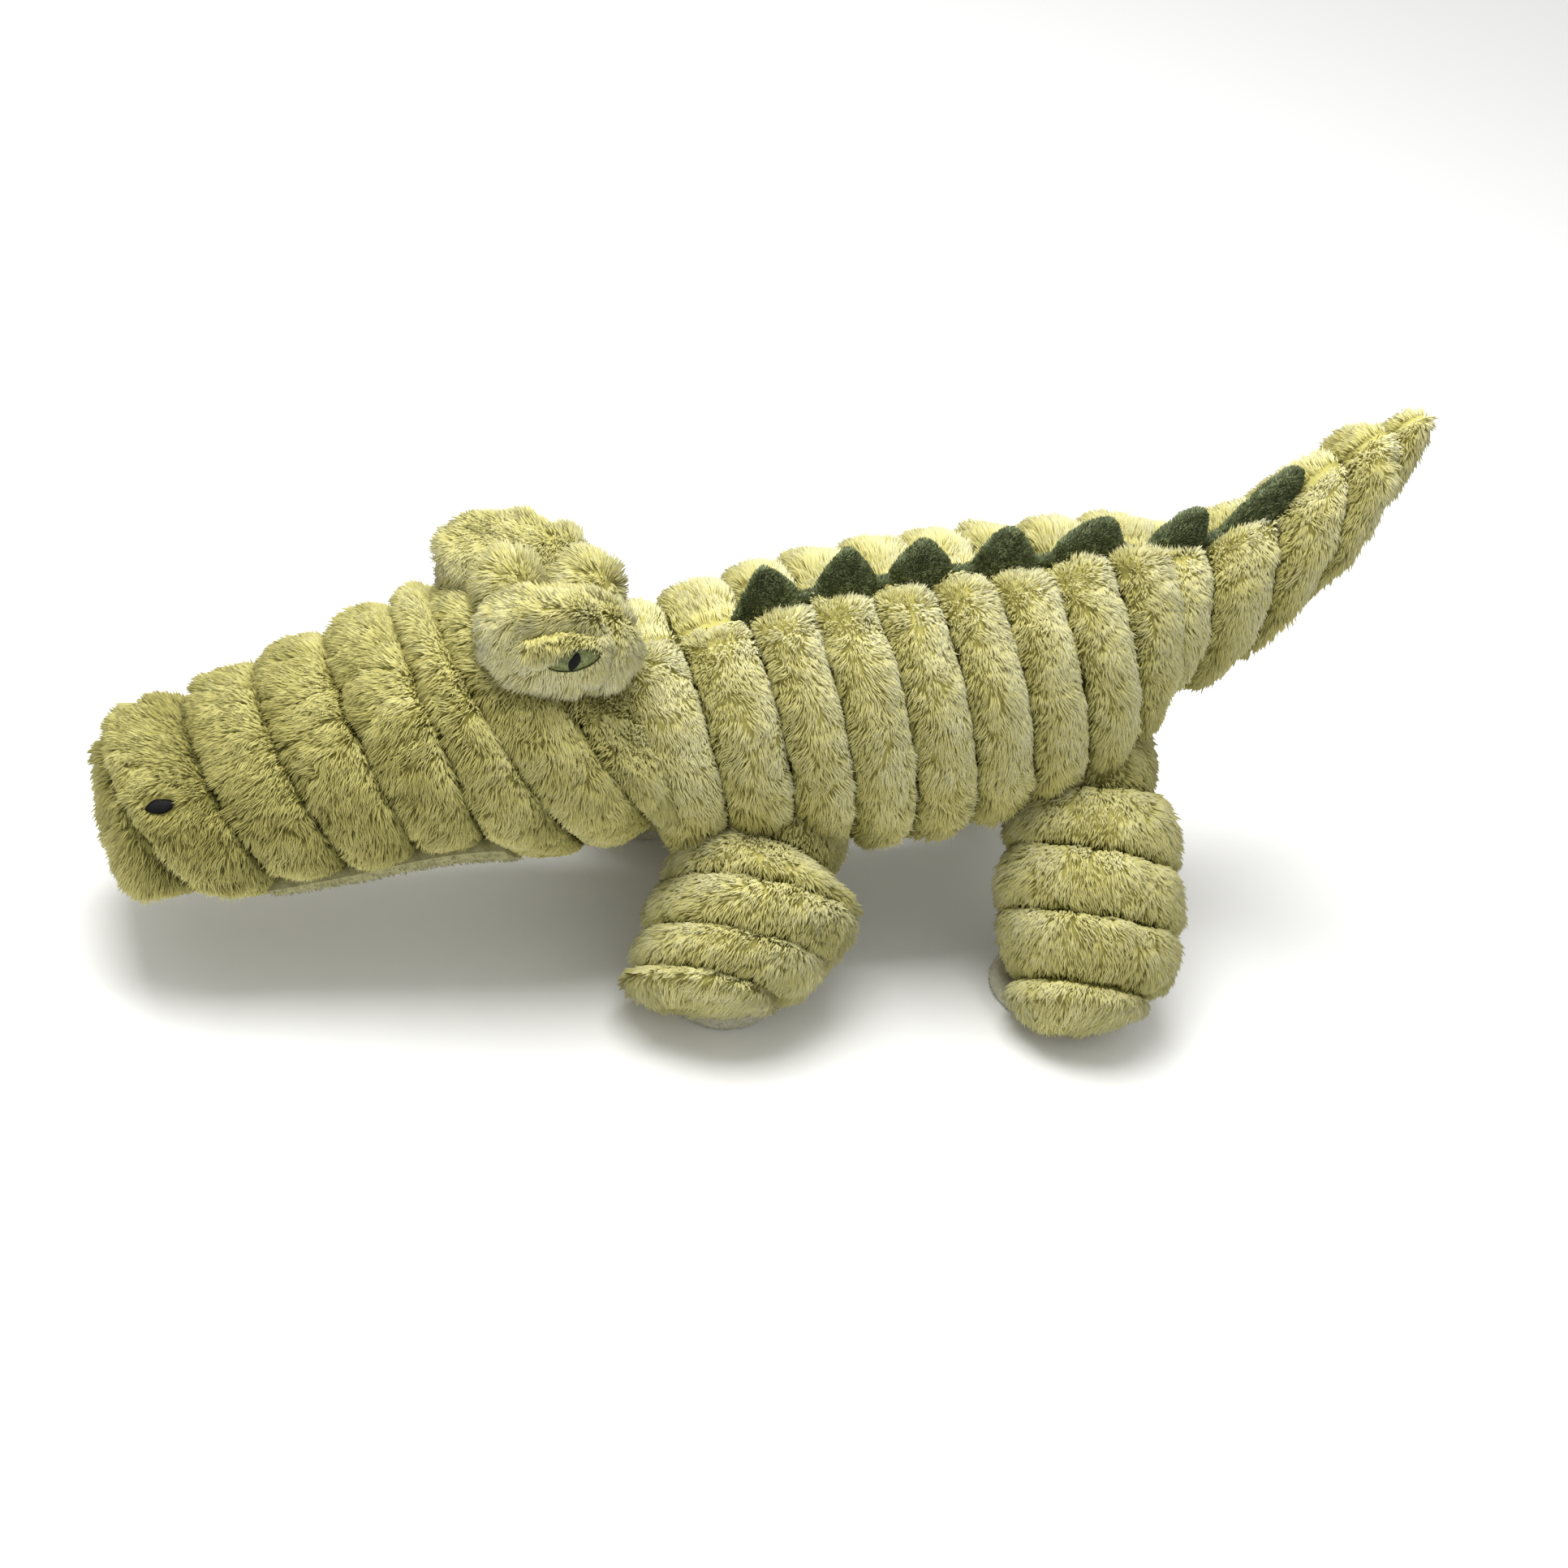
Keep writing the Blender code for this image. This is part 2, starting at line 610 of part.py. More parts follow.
def make_leg(leg):
    """One leg on its ball, flattened where it stands, with its sole let into the foot."""
    made = add_object(leg.name, lathe(leg.profile(), leg.pivot, leg.axis, LEG_SIDES),
                      leg.pivot, PLUSH_COLOUR)
    room = shoulder_room(leg.pivot, leg.socket_axis, LEG_BALL_RADIUS, LEG_CHILD_DEG)
    cut(made, room, "shoulder")
    cut(made, lathe(floor_profile(), leg.sole, (0, 0, 1), LEG_SIDES), "floor")
    cut(made, lathe(sole_profile(SEAM_GAP), leg.sole, (0, 0, 1), LEG_SIDES), "sole")
    add_object(leg.name.replace("leg", "sole"),
               lathe(sole_profile(0), leg.sole, (0, 0, 1), LEG_SIDES),
               leg.sole, SMOOTH_COLOUR, made)
    return made


def make_spike(name, rows, row, parent):
    """A padded triangular spike standing on the back seam between two places."""
    start, end, tall_share, lean_share = row
    count = PATCH_SIDES
    middle = (start + end) / 2
    base = skin_point(rows, end, 0) - skin_point(rows, start, 0)
    up = Vector((-base.z, 0, base.x)).normalized()
    high = station_between(rows, middle)[3]
    centre = skin_point(rows, middle, 0)
    rings = []
    turns = [2 * math.pi * k / count for k in range(count)]
    for wide in SPIKE_FOOT_SHARES:
        half = (end - start) / 2 * wide
        angle = SPIKE_THICKNESS / 2 * wide / high
        rings.append([skin_point(rows, middle + half * math.cos(turn), angle * math.sin(turn),
                                 SEAM_GAP) for turn in turns])
    for level, wide in SPIKE_LEVEL_SHARES:
        top = centre + base * lean_share * level + up * SPIKE_HEIGHT * tall_share * level
        thick = SPIKE_THICKNESS / 2 * math.sqrt(wide)
        rings.append([top + base / 2 * wide * math.cos(turn) + Vector((0, thick * math.sin(turn), 0))
                      for turn in turns])
    bm = loft(rings)
    return add_object(name, bm, centre, SPIKE_COLOUR, parent)


def head_top():
    """Point of the head's back seam between the eyes."""
    return skin_point(HEAD_ROWS, EYE_PLACE_SHARE * (len(HEAD_ROWS) - 1), 0)


def eye_bump_centre(side):
    """Middle of an eye bump: side -1 is the toy's left."""
    return head_top() + Vector((0, side * EYE_SPACING / 2, EYE_RISE))


def eye_bump_surface(side, a, b, height):
    """Point of an eye bump's outer side, a forward and b up from its middle."""
    half = EYE_BUMP_HALVES
    rest = 1 - (a / half[0]) ** 2 - (b / half[2]) ** 2
    y = half[1] * math.sqrt(max(rest, 0.0))
    normal = Vector((a / half[0] ** 2, y / half[1] ** 2, b / half[2] ** 2)).normalized()
    point = Vector((a, y, b)) + normal * height
    return eye_bump_centre(side) + Vector((point.x, side * point.y, point.z))


def almond(length, opening, count=PATCH_SIDES):
    """Outline of an almond, pointed at both ends."""
    points = []
    for k in range(count):
        turn = 2 * math.pi * k / count
        rise = math.sin(turn)
        points.append((length / 2 * math.cos(turn), opening / 2 * rise * abs(rise) ** ALMOND_POWER))
    return points


def make_eye(side, word, head):
    """Eye bump with its embroidered almond and pupil."""
    centre = eye_bump_centre(side)
    bm = ellipsoid(centre, EYE_BUMP_HALVES)
    brow = centre.z + EYE_OPENING * BROW_SHARE
    for v in bm.verts:
        fold = math.exp(-((v.co.z - brow) / (EYE_OPENING / 2)) ** 2)
        v.co.y -= side * BROW_DEPTH * fold * max(0.0, side * (v.co.y - centre.y) / EYE_BUMP_HALVES[1])
    bump = add_object(f"eye_bump_{word}", bm, centre, PLUSH_COLOUR, head)
    cut(bump, loft(skin_rings(HEAD_ROWS, SEAM_GAP, BODY_SIDES)), "head")

    def on_bump(a, b, height):
        return eye_bump_surface(side, a, b, height)

    top = SEAM_GAP + STITCH_THICKNESS
    low = top + SEAM_GAP
    add_object(f"eye_{word}", patch(on_bump, almond(EYE_LENGTH, EYE_OPENING), SEAM_GAP, top),
               centre, EYE_COLOUR, head, 0.5)
    slit = almond(PUPIL_LENGTH, PUPIL_HEIGHT)
    add_object(f"pupil_{word}", patch(on_bump, slit, low, low + STITCH_THICKNESS),
               centre, BLACK_THREAD_COLOUR, head, 0.4)


def make_nostril(side, word, head):
    """Embroidered nostril on the side of the nose roll."""
    pitch = HEAD_LENGTH * NOSE_ROLL_SHARE
    turn = side * NOSTRIL_TURN
    place = NOSTRIL_SHARE * (len(HEAD_ROWS) - 1)

    def on_nose(a, b, height):
        return skin_point(HEAD_ROWS, place + a / pitch,
                          turn + side * b / HEAD_HALF_WIDTH, height)

    add_object(f"nostril_{word}",
               patch(on_nose, almond(NOSTRIL_LENGTH, NOSTRIL_HEIGHT), SEAM_GAP,
                     SEAM_GAP + STITCH_THICKNESS),
               skin_point(HEAD_ROWS, place, turn), BLACK_THREAD_COLOUR, head, 0.4)


def make_panel(name, rows, span, parent, origin):
    """Smooth underside panel lying on the unquilted skin, over a span of the rolls."""
    first, last = (share * (len(rows) - 1) for share in span)
    places = [place for place in ring_places(len(rows)) if first <= place <= last]
    turns = [math.pi + 2 * math.pi * k / BODY_SIDES for k in range(-PANEL_FANS, PANEL_FANS + 1)]
    bm = bmesh.new()
    layers = []
    for height in (SEAM_GAP, SEAM_GAP + PANEL_THICKNESS):
        layers.append([[bm.verts.new(skin_point(rows, place, turn, height)) for turn in turns]
                       for place in places])
    low, high = layers
    steps = range(len(places) - 1)
    fans = range(len(turns) - 1)
    for layer in layers:
        for i in steps:
            for j in fans:
                bm.faces.new((layer[i][j], layer[i][j + 1], layer[i + 1][j + 1], layer[i + 1][j]))
    for i in steps:
        for j in (0, -1):
            bm.faces.new((low[i][j], low[i + 1][j], high[i + 1][j], high[i][j]))
    for i in (0, -1):
        for j in fans:
            bm.faces.new((low[i][j], low[i][j + 1], high[i][j + 1], high[i][j]))
    bmesh.ops.triangulate(bm, faces=bm.faces)
    bmesh.ops.recalc_face_normals(bm, faces=bm.faces)
    return add_object(name, bm, origin, SMOOTH_COLOUR, parent)


def make_crown(head):
    """Two rolls that cross the top of the head between the eye bumps."""
    rows = []
    middle = head_top() + Vector((0, 0, CROWN_RISE - CROWN_HEIGHT / 2))
    for k in range(CROWN_ROLLS + 1):
        x = middle.x + CROWN_LENGTH * (k - CROWN_ROLLS / 2)
        rows.append((x, middle.z, CROWN_WIDTH / 2, CROWN_HEIGHT / 2, 0.0))
    turns = [2 * math.pi * k / LEG_SIDES for k in range(LEG_SIDES)]
    rings = []
    for place in ring_places(len(rows)):
        x, z, wide, high, lean = station_between(rows, place)
        swell = ROLL_BULGE * abs(math.sin(math.pi * place)) ** ROLL_POWER
        rings.append([Vector((x, (wide + swell) * math.sin(t), z + (high + swell) * math.cos(t)))
                      for t in turns])
    crown = body("crown_rolls", rings, middle, PLUSH_COLOUR, head)
    cut(crown, loft(skin_rings(HEAD_ROWS, SEAM_GAP, BODY_SIDES)), "head")
    grown = [size + SEAM_GAP for size in EYE_BUMP_HALVES]
    for side in (-1, 1):
        cut(crown, ellipsoid(eye_bump_centre(side), grown), f"bump_{side}")


def make_squeaker(torso):
    """Squeaker in its pocket: a hollow bulb, open at the neck, where the reed sits."""
    first, last = (skin_point(TORSO_ROWS, share * (len(TORSO_ROWS) - 1), math.pi)
                   for share in BELLY_SPAN_SHARES)
    seat = Vector(((first.x + last.x) / 2, 0, max(first.z, last.z) + SQUEAKER_DEPTH))
    inner = SQUEAKER_RADIUS - SQUEAKER_WALL
    neck = REED_RADIUS + SEAM_GAP
    top = SQUEAKER_HEIGHT - SQUEAKER_WALL
    outer_curve = [(SQUEAKER_HEIGHT * share, SQUEAKER_RADIUS * wide)
                   for share, wide in SQUEAKER_OUTLINE_SHARES]
    inner_curve = [(SQUEAKER_WALL + (top - SQUEAKER_WALL) * share, inner * wide)
                   for share, wide in reversed(SQUEAKER_OUTLINE_SHARES)]
    shell = [(0, 0)] + outer_curve + [(SQUEAKER_HEIGHT, neck), (top, neck)] + inner_curve
    add_object("squeaker_bulb", lathe(shell + [(SQUEAKER_WALL, 0)], seat, (0, 0, 1)),
               seat, SQUEAKER_COLOUR, torso, 0.4)
    low = SQUEAKER_HEIGHT - REED_LENGTH * REED_SINK_SHARE
    tube = [(low, REED_BORE), (low, REED_RADIUS), (low + REED_LENGTH, REED_RADIUS),
            (low + REED_LENGTH, REED_BORE)]
    add_object("squeaker_reed", ring_solid(tube, seat, LEG_SIDES), seat, SQUEAKER_COLOUR,
               torso, 0.3)
    room = [(-OVERRUN, 0), (-OVERRUN, SQUEAKER_RADIUS + SEAM_GAP),
            (SQUEAKER_HEIGHT + SEAM_GAP, SQUEAKER_RADIUS + SEAM_GAP),
            (SQUEAKER_HEIGHT + SEAM_GAP, REED_RADIUS + SEAM_GAP),
            (low + REED_LENGTH + SEAM_GAP, REED_RADIUS + SEAM_GAP),
            (low + REED_LENGTH + SEAM_GAP, 0)]
    cut(torso, lathe(room, seat, (0, 0, 1)), "squeaker_pocket")


def ring_solid(profile, pivot, sides):
    """Closed ring turned round the upright axis, such as a tube, from (up, out) points."""
    bm = bmesh.new()
    loops = []
    for up, out in profile:
        loops.append([bm.verts.new(pivot + Vector((out * math.cos(2 * math.pi * k / sides),
                                                   out * math.sin(2 * math.pi * k / sides), up)))
                      for k in range(sides)])
    for low, high in zip(loops, loops[1:] + loops[:1]):
        for k in range(sides):
            n = (k + 1) % sides
            bm.faces.new((low[k], low[n], high[n], high[k]))
    bmesh.ops.recalc_face_normals(bm, faces=bm.faces)
    return bm


LEGS = [Leg("front_leg_left", -1, FRONT_LEG), Leg("front_leg_right", 1, FRONT_LEG),
        Leg("hind_leg_left", -1, HIND_LEG), Leg("hind_leg_right", 1, HIND_LEG)]


def main():
    """Clear the scene and build the toy."""
    for old in list(bpy.data.objects):
        bpy.data.objects.remove(old, do_unlink=True)
    torso = make_torso()
    make_squeaker(torso)
    make_panel("belly_panel", TORSO_ROWS, BELLY_SPAN_SHARES, torso, Vector())
    head = make_head()
    make_panel("jaw_panel", HEAD_ROWS, JAW_SPAN_SHARES, head, NECK_PIVOT)
    make_crown(head)
    for side, word in ((-1, "left"), (1, "right")):
        make_eye(side, word, head)
        make_nostril(side, word, head)
    tail = make_tail()
    for leg in LEGS:
        make_leg(leg)
    for k, row in enumerate(TORSO_SPIKE_SHARES):
        make_spike(f"spike_{k + 1}", TORSO_ROWS, row, torso)
    for k, row in enumerate(TAIL_SPIKE_SHARES):
        make_spike(f"spike_{len(TORSO_SPIKE_SHARES) + k + 1}", TAIL_ROWS, row, tail)


main()
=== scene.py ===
# %% [markdown]
# # A quilted plush crocodile in long fur
#
# The toy is a row of sewn plush tubes: a snouted head, a torso, a rising tail and four splayed
# legs. Each tube is closed off by seams into fat rolls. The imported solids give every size, so
# this script first loads them, and then dresses them: skins, fur, spikes, soles and embroidery.

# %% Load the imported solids
import math

import bpy
import numpy as np
from mathutils import Matrix


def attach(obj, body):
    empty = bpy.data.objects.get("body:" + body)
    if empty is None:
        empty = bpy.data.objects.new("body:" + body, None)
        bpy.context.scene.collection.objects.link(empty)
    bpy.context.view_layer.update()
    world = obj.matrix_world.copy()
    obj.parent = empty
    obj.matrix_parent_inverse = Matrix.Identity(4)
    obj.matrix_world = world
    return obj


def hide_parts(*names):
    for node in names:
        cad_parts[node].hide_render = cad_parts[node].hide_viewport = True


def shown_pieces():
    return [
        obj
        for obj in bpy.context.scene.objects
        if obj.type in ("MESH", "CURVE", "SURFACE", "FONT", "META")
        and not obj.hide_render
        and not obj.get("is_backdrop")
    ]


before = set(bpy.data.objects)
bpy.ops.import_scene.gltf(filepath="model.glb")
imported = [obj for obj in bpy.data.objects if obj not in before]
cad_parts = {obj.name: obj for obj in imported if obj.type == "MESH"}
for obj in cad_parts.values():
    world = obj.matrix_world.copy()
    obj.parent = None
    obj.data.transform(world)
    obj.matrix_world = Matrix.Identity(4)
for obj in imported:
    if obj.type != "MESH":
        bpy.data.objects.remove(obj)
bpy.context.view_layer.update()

MM = 0.001
DENSITY = 1.0

# %% [markdown]
# ## Camera, floor and light
#
# The camera's place was worked out from the toy's own seams, so its place and its three axes are
# plain numbers. The floor is a pale sheet, and the light is a wide soft panel overhead with a
# bright even sky around it, as in a light tent. A small hard lamp would give fur harsh sparkles.

# %% Camera
camera_data = bpy.data.cameras.new("photo_camera")
camera_data.lens = 65
camera_data.sensor_width = 36
camera_data.clip_end = 20
camera = bpy.data.objects.new("photo_camera", camera_data)
bpy.context.collection.objects.link(camera)
camera.matrix_world = Matrix((
    (0.9342, 0.0408, -0.3547, -0.45696),
    (-0.3030, 0.6160, -0.7271, -0.97323),
    (0.1888, 0.7867, 0.5878, 0.85475),
    (0, 0, 0, 1),
))
bpy.context.scene.camera = camera
print("camera at", [round(v, 3) for v in camera.location])

# %% [markdown]
# Materials are made by one small helper: it adds a node, fills in its settings, and links its
# inputs. Colours are written as the hex values that a painter would pick on a screen, and one
# function turns them to the linear values that the renderer wants. Plush, velboa, thread and
# plastic all wander a little in tone, so one more function mottles a material.


# %% Colour and node helpers
def colour(hex_value):
    """Screen colour to linear light: the standard curve, with its short straight foot."""
    parts = [int(hex_value[i:i + 2], 16) / 255 for i in (1, 3, 5)]
    return tuple(p / 12.92 if p <= 0.04045 else ((p + 0.055) / 1.055) ** 2.4 for p in parts) + (1,)


def add_node(tree, kind, inputs=None, **settings):
    """Adds one node: settings are its properties, and inputs are values or sockets to link."""
    node = tree.nodes.new(kind)
    for name, value in settings.items():
        setattr(node, name, value)
    for name, value in (inputs or {}).items():
        if isinstance(value, bpy.types.NodeSocket):
            tree.links.new(value, node.inputs[name])
        else:
            node.inputs[name].default_value = value
    return node


def new_material(name, roughness, specular, sheen=0.0, sheen_tint="#ffffff"):
    """A material with one shader whose plain numbers are set on the shader itself."""
    made = bpy.data.materials.new(name)
    made.use_nodes = True
    shader = made.node_tree.nodes["Principled BSDF"]
    shader.inputs["Roughness"].default_value = roughness
    shader.inputs["Specular IOR Level"].default_value = specular
    shader.inputs["Sheen Weight"].default_value = sheen
    shader.inputs["Sheen Tint"].default_value = colour(sheen_tint)
    return made, made.node_tree, shader


def set_ramp(node, stops):
    """Puts (place, hex colour) stops on a colour ramp."""
    ramp = node.color_ramp
    while len(ramp.elements) < len(stops):
        ramp.elements.new(0.5)
    for element, (place, hex_value) in zip(ramp.elements, stops):
        element.position = place
        element.color = colour(hex_value)
    return node


def mottle(tree, shader, scale, stops, detail=2.0):
    """Colours a shader by noise over the piece's own place: scale is the waves in a metre."""
    place = add_node(tree, "ShaderNodeTexCoord")
    noise = add_node(tree, "ShaderNodeTexNoise", {
        "Vector": place.outputs["Object"], "Scale": scale, "Detail": detail})
    ramp = set_ramp(add_node(tree, "ShaderNodeValToRGB", {"Fac": noise.outputs["Fac"]}), stops)
    tree.links.new(ramp.outputs["Color"], shader.inputs["Base Color"])


# %% Floor and light
paper, _, shader = new_material("white_paper", 0.9, 0.1)
shader.inputs["Base Color"].default_value = colour("#f6f6f5")
sheet = bpy.data.meshes.new("floor")
sheet.from_pydata([(-6, -6, 0), (6, -6, 0), (6, 6, 0), (-6, 6, 0)], [], [(0, 1, 2, 3)])
sheet.materials.append(paper)
floor = bpy.data.objects.new("floor", sheet)
bpy.context.collection.objects.link(floor)
floor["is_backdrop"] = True

world = bpy.data.worlds.new("light_tent")
world.use_nodes = True
world.node_tree.nodes["Background"].inputs["Color"].default_value = colour("#ffffff")
world.node_tree.nodes["Background"].inputs["Strength"].default_value = 0.66
bpy.context.scene.world = world
bpy.context.scene.view_settings.view_transform = "Standard"

panel_data = bpy.data.lights.new("overhead_panel", "AREA")
panel_data.shape = "SQUARE"
panel_data.size = 1.0
panel_data.energy = 27
panel_light = bpy.data.objects.new("overhead_panel", panel_data)
bpy.context.collection.objects.link(panel_light)
# A lamp shines down its own -Z, so its Z axis points back from the toy
light_place = (-0.25, 0.15, 1.5)
back = np.subtract(light_place, (0, 0, 0.1))
back = back / np.linalg.norm(back)
side = np.cross((0, 1, 0), back)
side = side / np.linalg.norm(side)
up = np.cross(back, side)
panel_light.matrix_world = Matrix(
    [(side[i], up[i], back[i], light_place[i]) for i in range(3)] + [(0, 0, 0, 1)])
print("stage set")

# %% [markdown]
# ## The centre lines
#
# Every tube follows a centre line through its seams. A seam is a row of five numbers: place along
# and up, half width, half height, and lean. The lines repeat the solids' own values, so that each
# skin sits where its solid is. Only the snout's end and the tail differ a little, to follow the
# toy's look more closely.


# %% Small curves
def unit(v):
    """Directions of length one: each vector over its own length."""
    return v / np.maximum(np.linalg.norm(v, axis=-1, keepdims=True), 1e-9)


def smooth_step(low, high, value):
    """Rises from 0 at low to 1 at high, level at both ends: 3 s squared less 2 s cubed."""
    share = np.clip((value - low) / (high - low), 0, 1)
    return share * share * (3 - 2 * share)


def hump(value, middle, width):
    """A smooth bell: one at the middle, and falling off over the width."""
    return np.exp(-((value - middle) / width) ** 2)


def full_turn(count):
    """Angles of even steps once round a circle."""
    return np.arange(count) * 2 * np.pi / count


def off_seam(place):
    """0 in the seams, where the place is whole, and 1 halfway between: the size of a sine."""
    return np.abs(np.sin(np.pi * place))


def from_top(turn):
    """Angle from the middle of the back, the same to both sides."""
    return np.abs(np.remainder(turn + np.pi, 2 * np.pi) - np.pi)


def points_of(x, y, z):
    """Arrays of x, y and z, spread over each other, as points."""
    return np.stack(np.broadcast_arrays(x, y, z), -1)


# %% Seams of the torso, head and tail
HEAD_LENGTH, TORSO_LENGTH, TAIL_LENGTH = 243 * MM, 241 * MM, 129 * MM
NECK = np.array((HEAD_LENGTH - (HEAD_LENGTH + TORSO_LENGTH + TAIL_LENGTH) / 2, 0, 103 * MM))
TAIL_ROOT = NECK + (TORSO_LENGTH, 0, 58 * MM)


def seam_rows(shares, start, length, rise, half_width, half_height):
    """Shares of a tube's sizes to metres: start plus share times size, and degrees to radians."""
    along, up, wide, high, lean = np.array(shares, float).T
    return np.stack([start[0] + along * length, start[2] + up * rise, wide * half_width,
                     high * half_height, np.radians(lean)], axis=1)


torso_rows = seam_rows((
    (-0.02, -0.02, 0.80, 0.80, 26), (0.116, 0.035, 0.88, 0.88, 18), (0.241, 0.14, 0.93, 0.93, 16),
    (0.353, 0.22, 0.99, 0.98, 15), (0.473, 0.28, 1.03, 1.02, 15), (0.589, 0.38, 1.03, 1.00, 15),
    (0.705, 0.48, 1.00, 0.97, 15), (0.822, 0.585, 0.93, 0.93, 16), (0.925, 0.775, 0.83, 0.84, 13),
    (1.02, 1.02, 0.58, 0.60, 6)), NECK, TORSO_LENGTH, 58 * MM, 65 * MM, 65 * MM)
head_rows = seam_rows((
    (-0.03, -0.02, 0.80, 0.76, 26), (0.10, 0.40, 0.98, 0.93, 38), (0.228, 0.18, 1.03, 0.98, 38),
    (0.365, 0.12, 0.98, 0.78, 26), (0.48, -0.08, 0.91, 0.71, 30), (0.60, -0.33, 0.87, 0.65, 34),
    (0.72, -0.58, 0.81, 0.59, 38), (0.852, -0.79, 0.76, 0.57, 43), (0.945, -1.20, 0.68, 0.33, 20)),
    NECK, -HEAD_LENGTH, 42 * MM, 64 * MM, 68 * MM)
tail_rows = seam_rows((
    (-0.04, 0.03, 0.92, 0.71, 6), (0.15, 0.04, 0.90, 0.84, -3), (0.38, 0.17, 0.74, 0.92, -8),
    (0.58, 0.44, 0.68, 0.91, -12), (0.75, 0.70, 0.56, 0.67, -14), (0.935, 1.00, 0.42, 0.66, -14)),
    TAIL_ROOT, TAIL_LENGTH, 104 * MM, 38 * MM, 46 * MM)
# The last roll that each tube has before its end, or before it dives into the next tube
TORSO_END, HEAD_END, TAIL_END = 9, 7, 4
print("seams:", len(torso_rows), len(head_rows), len(tail_rows))

# %% [markdown]
# A place along a tube is a number: whole in each seam, and in between on a roll. A turn goes round
# the tube from the middle of the back. Between two seams a ring's sizes follow a cubic, and the
# roll swells out from it by a root of a sine, which is steep at the seams and flat on the crest.

# %% A point of the quilted skin
FULL_ROLL = 7 * MM
BACK_GROOVE, SPIKE_HALF, PANEL_HALF, PANEL_SLOPE = np.radians((8, 6.5, 38, 14))


def station_at(rows, place):
    """A station between seams: a cubic through the four seams round it, ends repeated."""
    place = np.asarray(place, float)
    i = np.clip(place.astype(int), 0, len(rows) - 2)
    t = (place - i)[..., None]
    a, b, c, d = (rows[np.clip(i + k, 0, len(rows) - 1)] for k in (-1, 0, 1, 2))
    slope, slope_end = (c - a) / 2, (d - b) / 2
    rest = c - b - slope
    bend = slope_end - slope
    return b + slope * t + (3 * rest - bend) * t ** 2 + (bend - 2 * rest) * t ** 3


def ring_at(row, turn, out):
    """Oval ring that leans: sine of the turn sideways, cosine up along the lean."""
    x, z, wide, high, lean = np.moveaxis(row, -1, 0)
    up = (high + out) * np.cos(turn)
    return np.stack([x - up * np.sin(lean), (wide + out) * np.sin(turn), z + up * np.cos(lean)], -1)


def roll_swell(rows, place, turn):
    """Swell of a roll: a root of the sine between two seams, none in the back seam or below.

    The head has no seam along its top, the tail none past its spikes, and where two seams meet
    there is no roll between them.
    """
    from_back = from_top(turn)
    past_spikes = smooth_step(2.1, 2.5, place) if rows is tail_rows else 0
    is_head = rows[0, 0] > rows[-1, 0]
    groove = smooth_step(0, BACK_GROOVE, from_back - SPIKE_HALF)
    open_share = 1.0 if is_head else groove + (1 - groove) * past_spikes
    slope = PANEL_SLOPE * (1.5 if is_head else 1)
    open_share = open_share * smooth_step(PANEL_HALF, PANEL_HALF + slope, np.pi - from_back)
    seam = np.clip(np.asarray(place).astype(int), 0, len(rows) - 2)
    pitch = np.linalg.norm(ring_at(rows[seam + 1], turn, 0) - ring_at(rows[seam], turn, 0), axis=-1)
    return FULL_ROLL * smooth_step(4 * MM, 19 * MM, pitch) * off_seam(place) ** 0.38 * open_share


def skin_at(rows, place, turn, height=0.0):
    """A point of the quilted skin: the ring at a place, swollen by its roll, plus a height."""
    return ring_at(station_at(rows, place), turn, roll_swell(rows, place, turn) + height)


# %% [markdown]
# ## Surfaces as grids
#
# Each stuffed piece is a grid of points: rows run along the piece, and columns go round it. One
# function closes a grid into a mesh with a pole at each end. Another lays seeded noise on it, as
# the filling of a real toy is never even.


# %% Grid helpers
def wander(points, size, seed):
    """Smooth noise from -1 to 1: the sum of four sines along random directions."""
    local = np.random.default_rng(seed)
    total = 0
    for k in range(4):
        way = local.normal(size=3)
        way = way / np.linalg.norm(way)
        waves = points @ way * (2 * np.pi / size) * (1 + 0.35 * k)
        total = total + np.sin(waves + local.uniform(0, 6.3))
    return total / 4


def grid_normals(grid):
    """Unit directions of a grid that closes round: along its rows, across them, and outwards."""
    along = np.gradient(grid, axis=0)
    across = (np.roll(grid, -1, axis=1) - np.roll(grid, 1, axis=1)) / 2
    out = np.cross(across, along)
    middle = grid.mean(axis=1, keepdims=True)
    turn_round = np.sign(np.sum(out * (grid - middle), axis=(1, 2), keepdims=True).mean())
    return unit(along), unit(across), unit(out * turn_round)


def uneven(grid, depth, size, seed):
    """A grid pushed in and out by noise, as filling does."""
    return grid + grid_normals(grid)[2] * (depth * wander(grid, size, seed))[..., None]


# %% Mesh helpers
def new_object(name, vertices, faces, material):
    """A smooth mesh object at the origin, made from arrays of points and of equal faces."""
    mesh = bpy.data.meshes.new(name)
    vertices = np.ascontiguousarray(vertices, dtype=np.float32).reshape(-1, 3)
    faces = np.ascontiguousarray(faces, dtype=np.int32)
    mesh.vertices.add(len(vertices))
    mesh.vertices.foreach_set("co", vertices.ravel())
    mesh.loops.add(faces.size)
    mesh.loops.foreach_set("vertex_index", faces.ravel())
    mesh.polygons.add(len(faces))
    starts = np.arange(0, faces.size, faces.shape[1], dtype=np.int32)
    mesh.polygons.foreach_set("loop_start", starts)
    mesh.update(calc_edges=True)
    mesh.shade_smooth()
    mesh.materials.append(material)
    made = bpy.data.objects.new(name, mesh)
    bpy.context.collection.objects.link(made)
    return made


